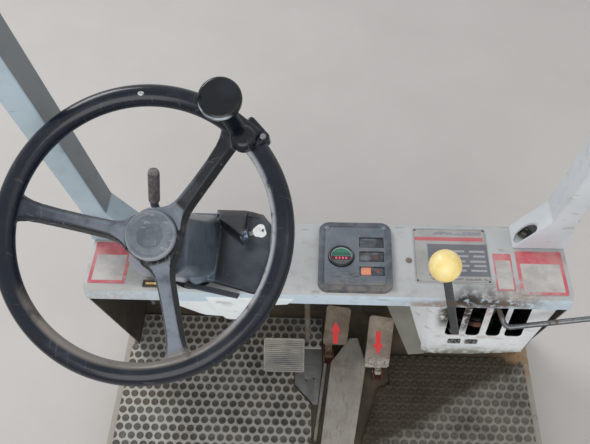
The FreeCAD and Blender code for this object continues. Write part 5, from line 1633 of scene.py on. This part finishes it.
def treadle(name, x, heel_x, hinge_y, low, high, tail, tip):
    """Channel-shaped pedal with its hinge barrel and the painted arrow."""
    w = TREADLE_W / 2
    h = heel_x - x
    a, b = TREADLE_SKEW
    outline = [(a - w, low), (a + w, low + 1), (b + w, high - 4), (b - w, high + 3)]
    top = plate(name + "_treadle", rounded(outline, [7, 7, 8, 8], 6), "Z", 8, 12)
    softened(top, 1.2, 3)
    parts = [top]
    for side in (-w + 1.5, w - 1.5):
        start = Vector((side + a, low + 10, 2.2))
        end = Vector((side + b, high - 12, 2.2))
        parts.append(bar("flange", start, end, 14, 3, (0, 0, 1), 1.0))
    parts.append(softened(block("heel", (h - 7.6, h + 7.6), (4, low + 8), (6.5, 11)), 1, 2))
    parts.append(turned("barrel", [(7.2, -6), (8, -5.2), (8, 5.2), (7.2, 6)], (h, 0, 0), RIGHT, 32))
    parts.append(turned("pin", [(3.2, -13), (4, -12.2), (4, 12.2), (3.2, 13)], (h, 0, 0), RIGHT,
                        24))
    parts.append(softened(block("web", (h - 7.6, h + 7.6), (0, 16), (5, 11)), 1, 2))
    pedal = posed(joined(name + "_treadle", parts), (x, hinge_y, TREADLE_Z), TREADLE_SLOPE)
    f = Finish(name + "_treadle")
    cloud = f.noise(26, 5, 0.65)
    # Painted shade: the forward pedal, further in under the cowl, gets a darker copy of the same
    # paint.
    away = name == "forward"
    pale, tone_and_painted_light = ((124, 112, 98), (98, 86, 74)) if away else ((152, 140, 128), (126, 114, 102))
    f.base(cloud.between(0.35, 0.68), tone_and_painted_light, pale)
    brown = f.noise(40, 4, 0.6).between(0.5, 0.68) * 0.5
    f.over(brown, (84, 70, 57))
    if away:
        low_edge = 1 - f.axis("Z").between(146, 156)
        f.over(low_edge * f.noise(9, 4, 0.6).between(0.3, 0.5), (74, 54, 42))
    else:
        low_edge = 1 - f.axis("Z").between(146, 166)
        f.over(low_edge * f.noise(6, 5, 0.7).between(0.4, 0.54) * 0.9, (182, 178, 172))
        f.over(low_edge * f.noise(5, 4, 0.7).between(0.6, 0.66), (62, 56, 50))
    rubbed = f.edge(1.6) * cloud.between(0.3, 0.55) * 0.8
    f.over(rubbed, (168, 160, 150))
    finish = f.finished(0.55 + cloud * 0.25, f.noise(3, 4, 0.7) + cloud, 0.35, 0.2)
    fitted(smooth(pedal), finish, "control_paint", name, name + "_pedal")
    run = tip - tail
    lean = -2.5
    arrow = []
    for across, share in ((-5.5, 0), (5.5, 0), (6, 0.56), (11.5, 0.56), (0.5, 1), (-0.5, 1),
                          (-11.5, 0.56), (-6, 0.56)):
        arrow.append((across + lean, tail + run * share))
    mark = plate(name + "_arrow", rounded(arrow, [1.5] * 4 + [0.3] * 2 + [1.5] * 2, 3), "Z", 11.9,
                 12.3)
    outward(mark)
    f = Finish(name + "_arrow")
    wear_and_highlight = f.noise(7, 5, 0.7)
    f.base(wear_and_highlight.between(0.46, 0.66), (226, 38, 44), (206, 74, 70))
    f.over(wear_and_highlight.between(0.63, 0.68) * 0.8, (134, 116, 104))
    fitted(posed(mark, (x, hinge_y, TREADLE_Z), TREADLE_SLOPE),
           f.finished(0.5 + wear_and_highlight * 0.2, wear_and_highlight, 0.1),
           "control_paint", name)
    repaint(name + "_hinge", steel(name + "_hinge", (96, 76, 66), (84, 54, 44), 0.8, 0.6, 0.4))


RAMP_Y = (-120.0, 326.0)
RAMP_Z = (108.0, 130.0)


def heel_ramp():
    """Folded cover, pointed at its far end, falling towards the heel; open below."""
    outline = [(-23, RAMP_Y[0]), (37, RAMP_Y[0]), (95, 260), (77, RAMP_Y[1]), (58, RAMP_Y[1]),
               (15, 263)]
    centre = Vector((45, 120))
    inner = [(x + math.copysign(2.5, centre.x - x), y + math.copysign(2.5, centre.y - y)) for x,
             y in outline]

    def below(drop):
        top = [(RAMP_Y[0] - 10, 85), (RAMP_Y[1] + 10, 85), (RAMP_Y[1] + 10, RAMP_Z[1] - drop),
               (RAMP_Y[0] - 10, RAMP_Z[0] - drop)]
        return plate("below", top, "X", -200, 300)

    obj = cut(plate("ramp_cover", outline, "Z", PAN_TOP, 150), below(0), "INTERSECT")
    softened(obj, 2.2, 3, 25)
    cut(obj, cut(plate("inside", inner, "Z", 80, 150), below(2.5), "INTERSECT"))
    f = Finish("ramp_cover")
    cloud = f.noise(60, 5, 0.62)
    grain = f.noise(9, 4, 0.65, (2.2, 0.35, 1))
    f.base(cloud.between(0.35, 0.7), (186, 180, 173), (168, 161, 153))
    f.over(grain.between(0.52, 0.66) * 0.35, (112, 102, 94))
    stain = f.spot((36, 262, 128), 56, (1.2, 0.8, 1)) * f.noise(26, 4, 0.6).between(0.28, 0.5)
    f.over(stain * 0.4, (104, 92, 74))
    rubbed = f.edge(3) * 0.7
    f.over(rubbed, (178, 170, 162))
    hollow = f.noise(14, 5, 0.7).between(0.6, 0.7) * 0.4
    f.over(hollow, (104, 92, 82))
    finish = f.finished(0.5 + cloud * 0.2, grain + f.noise(2, 3) * 0.4, 0.2, 0.2)
    fitted(smooth(obj), finish, "floor_steel", BODY, "heel_ramp")
    bright = rod("edge_bar", [(2.5, 272, PAN_TOP + 8.2), (-17, 88, PAN_TOP + 4.2)], 3.8)
    fitted(bright,
           steel("edge_bright", (222, 218, 212), (120, 106, 92), 0.25, 0.3, 0.6, (0.4, 0.1, 1)),
           "bright_steel",
           BODY, "edge_rod")


def inset():
    """Bare plate in the mat's notch, with its two small holes and a darker strip where it folds."""
    outline = [(INSET_X[0], 220), (-24, 172), (-13, 172), (INSET_X[1], 262),
               (INSET_X[1], INSET_Y[1]),
               (INSET_X[0], INSET_Y[1])]
    obj = plate("inset_sheet", outline, "Z", PAN_TOP, PAN_TOP + 4)
    for x, y in ((-41, 232), (-24, 236)):
        cut(obj, turned("hole", [(2.4, -3), (2.4, 12)], (x, y, PAN_TOP), sides=20))
    softened(obj, 0.7, 2)
    f = Finish("inset_sheet")
    cloud = f.noise(34, 5, 0.62)
    f.base(cloud.between(0.35, 0.7), (140, 141, 141), (122, 122, 119))
    fold = f.patch((-60, -20), (270, 273), 0.8)
    f.over(fold, (122, 118, 110))
    fitted(smooth(obj), f.finished(0.5 + cloud * 0.25, cloud, 0.1, 0.35), "floor_steel", BODY,
           "inset_plate")


LEG_X = (370.0, 410.0)
LEG_NEAR = 211.0
LEG_DEPTH = 50.0
LEG_T = 3.0
LEG_LEAN = 16.4
LEG_TOP = 1700.0
FOOT_IN = 317.0
FOOT_H = 73.0


def guard_leg(side, finish):
    """Box-section leg on its wedge-shaped foot, with the foot's window and bolt."""
    z0 = COWL_TOP + 0.1
    z1 = COWL_TOP + FOOT_H
    slope = math.tan(math.radians(LEG_LEAN))

    def foot(m):
        low = z0 + 1.3 * m
        outline = [(FOOT_IN + 2.5 * m, low), (LEG_X[0] + 0.5 * m, z1 - m), (LEG_X[1] - m, z1 - m),
                   (LEG_X[1] - m, low)]
        return plate("foot", outline, "Y", LEG_NEAR + m, LEG_NEAR + LEG_DEPTH - m)

    def post(m):
        rise = LEG_TOP - z1
        low = z1 - (m + 1 if m else 0)
        drop = (z1 - low) * slope
        outline = [
            (LEG_NEAR + drop + m, low), (LEG_NEAR + LEG_DEPTH + drop - m, low),
            (LEG_NEAR + LEG_DEPTH - rise * slope - m, LEG_TOP - m),
            (LEG_NEAR - rise * slope + m, LEG_TOP - m),
        ]
        return plate("post", outline, "X", LEG_X[0] + m, LEG_X[1] - m)

    leg = cut(foot(0), post(0), "UNION")
    softened(leg, 3.0, 3, 25)
    cut(leg, foot(LEG_T))
    cut(leg, post(LEG_T))
    bolt = Vector((FOOT_IN + 26, LEG_NEAR + 30, z0))
    if side > 0:
        window = turned("window_way", [(15.5, 4), (15.5, FOOT_H)],
                        (FOOT_IN + 20, LEG_NEAR + 13, z0), sides=48)
        behind = block("behind", (FOOT_IN, LEG_X[0]), (LEG_NEAR + LEG_T, LEG_NEAR + LEG_DEPTH),
                       (z0, z1))
        cut(leg, cut(window, behind, "INTERSECT"))
    middle = LEG_NEAR + LEG_DEPTH / 2 - (LEG_TOP - z1) * slope
    for dy in (-13, 13):
        cut(leg,
            turned("roof_hole", [(5.5, -10), (5.5, 10)], (sum(LEG_X) / 2, middle + dy, LEG_TOP),
                   sides=28))
    steps = [(13, 3.9), (13, 5.4), (12.4, 5.9), (8.4, 6), (8.4, 6.2)]
    washer = turned("foot_washer", steps, bolt, sides=36)
    head = turned("foot_bolt",
                  [(8.6, 6), (8.6, 11), (7.8, 12.2), (5, 12.4), (4.4, 11.4), (0.3, 11.4)], bolt,
                  sides=6)
    bolts = joined("foot_bolt", [washer, head])
    if side < 0:
        for piece in (leg, bolts):
            only(piece)
            piece.scale = (-1, 1, 1)
            settle(piece)
    name = "left" if side < 0 else "right"
    leg.name = "leg_" + name
    bolts.name = "foot_bolt_" + name
    slot = "guard_paint_" + name
    fitted(smooth(outward(leg)), finish, slot, BODY, "guard_leg_" + name)
    fitted(smooth(outward(bolts)),
           steel("foot_bolt_" + name, (150, 146, 140), (96, 84, 72), 0.45, 0.4), slot, BODY)


def legs():
    # Painted light: the left leg is a darker, bluer copy of the right leg's paint, as shade and sky
    # reflection; its inner face, turned from the light, gets deeper painted shade.
    left = enamel("leg_left", (176, 194, 204), (164, 182, 192), (112, 112, 108), (120, 124, 122),
                  0.25, 0.35,
                  tone_and_painted_light=("X", 1, (122, 129, 134)))
    right = enamel("leg_right", (206, 211, 216), (194, 198, 202), (122, 112, 102), (140, 136, 130),
                   0.2, 0.35)
    guard_leg(-1, left)
    guard_leg(1, right)


def shell_finishes():
    """Finishes on the solids that stay: the pan and the footwell's walls."""
    f = Finish("pan_dust")
    cloud = f.noise(70, 5, 0.62)
    f.base(cloud.between(0.35, 0.68), (74, 66, 56), (104, 92, 78))
    edge = f.axis("X") * f.axis("X")
    margin = edge.between(455 ** 2, 461 ** 2) * f.noise(30, 4, 0.6).between(0.2, 0.42)
    f.over(margin * 0.85, (176, 170, 162))
    tan = f.spot((460, 300, 92), 90) * f.noise(20, 4, 0.6).between(0.3, 0.5)
    f.over(tan, (158, 128, 96))
    grit = f.noise(5, 4, 0.7).between(0.58, 0.7) * 0.5
    f.over(grit, (128, 116, 102))
    repaint("floor_pan", f.finished(0.7 + cloud * 0.2, f.noise(3, 4, 0.7), 0.3))
    f = Finish("well_dirt")
    cloud = f.noise(80, 5, 0.62)
    f.base(cloud.between(0.35, 0.68), (62, 57, 48), (84, 77, 66))
    runs = f.noise(30, 4, 0.6, (3, 3, 0.3)).between(0.52, 0.66) * 0.5
    f.over(runs, (44, 40, 33))
    repaint("front_wall", f.finished(0.65 + cloud * 0.25, f.noise(4, 4, 0.7), 0.25))
    well = f.material
    for node in ("side_wall_left", "side_wall_right"):
        repaint(node, well)


camera()
studio()
mats()
cowl()
steering_wheel()
spinner()
column()
column_cover()
key()
catch()
lever_box()
levers()
knee_shroud()
panel()
plates()
brake()
for treadle_row in TREADLES:
    treadle(*treadle_row)
heel_ramp()
inset()
legs()
shell_finishes()
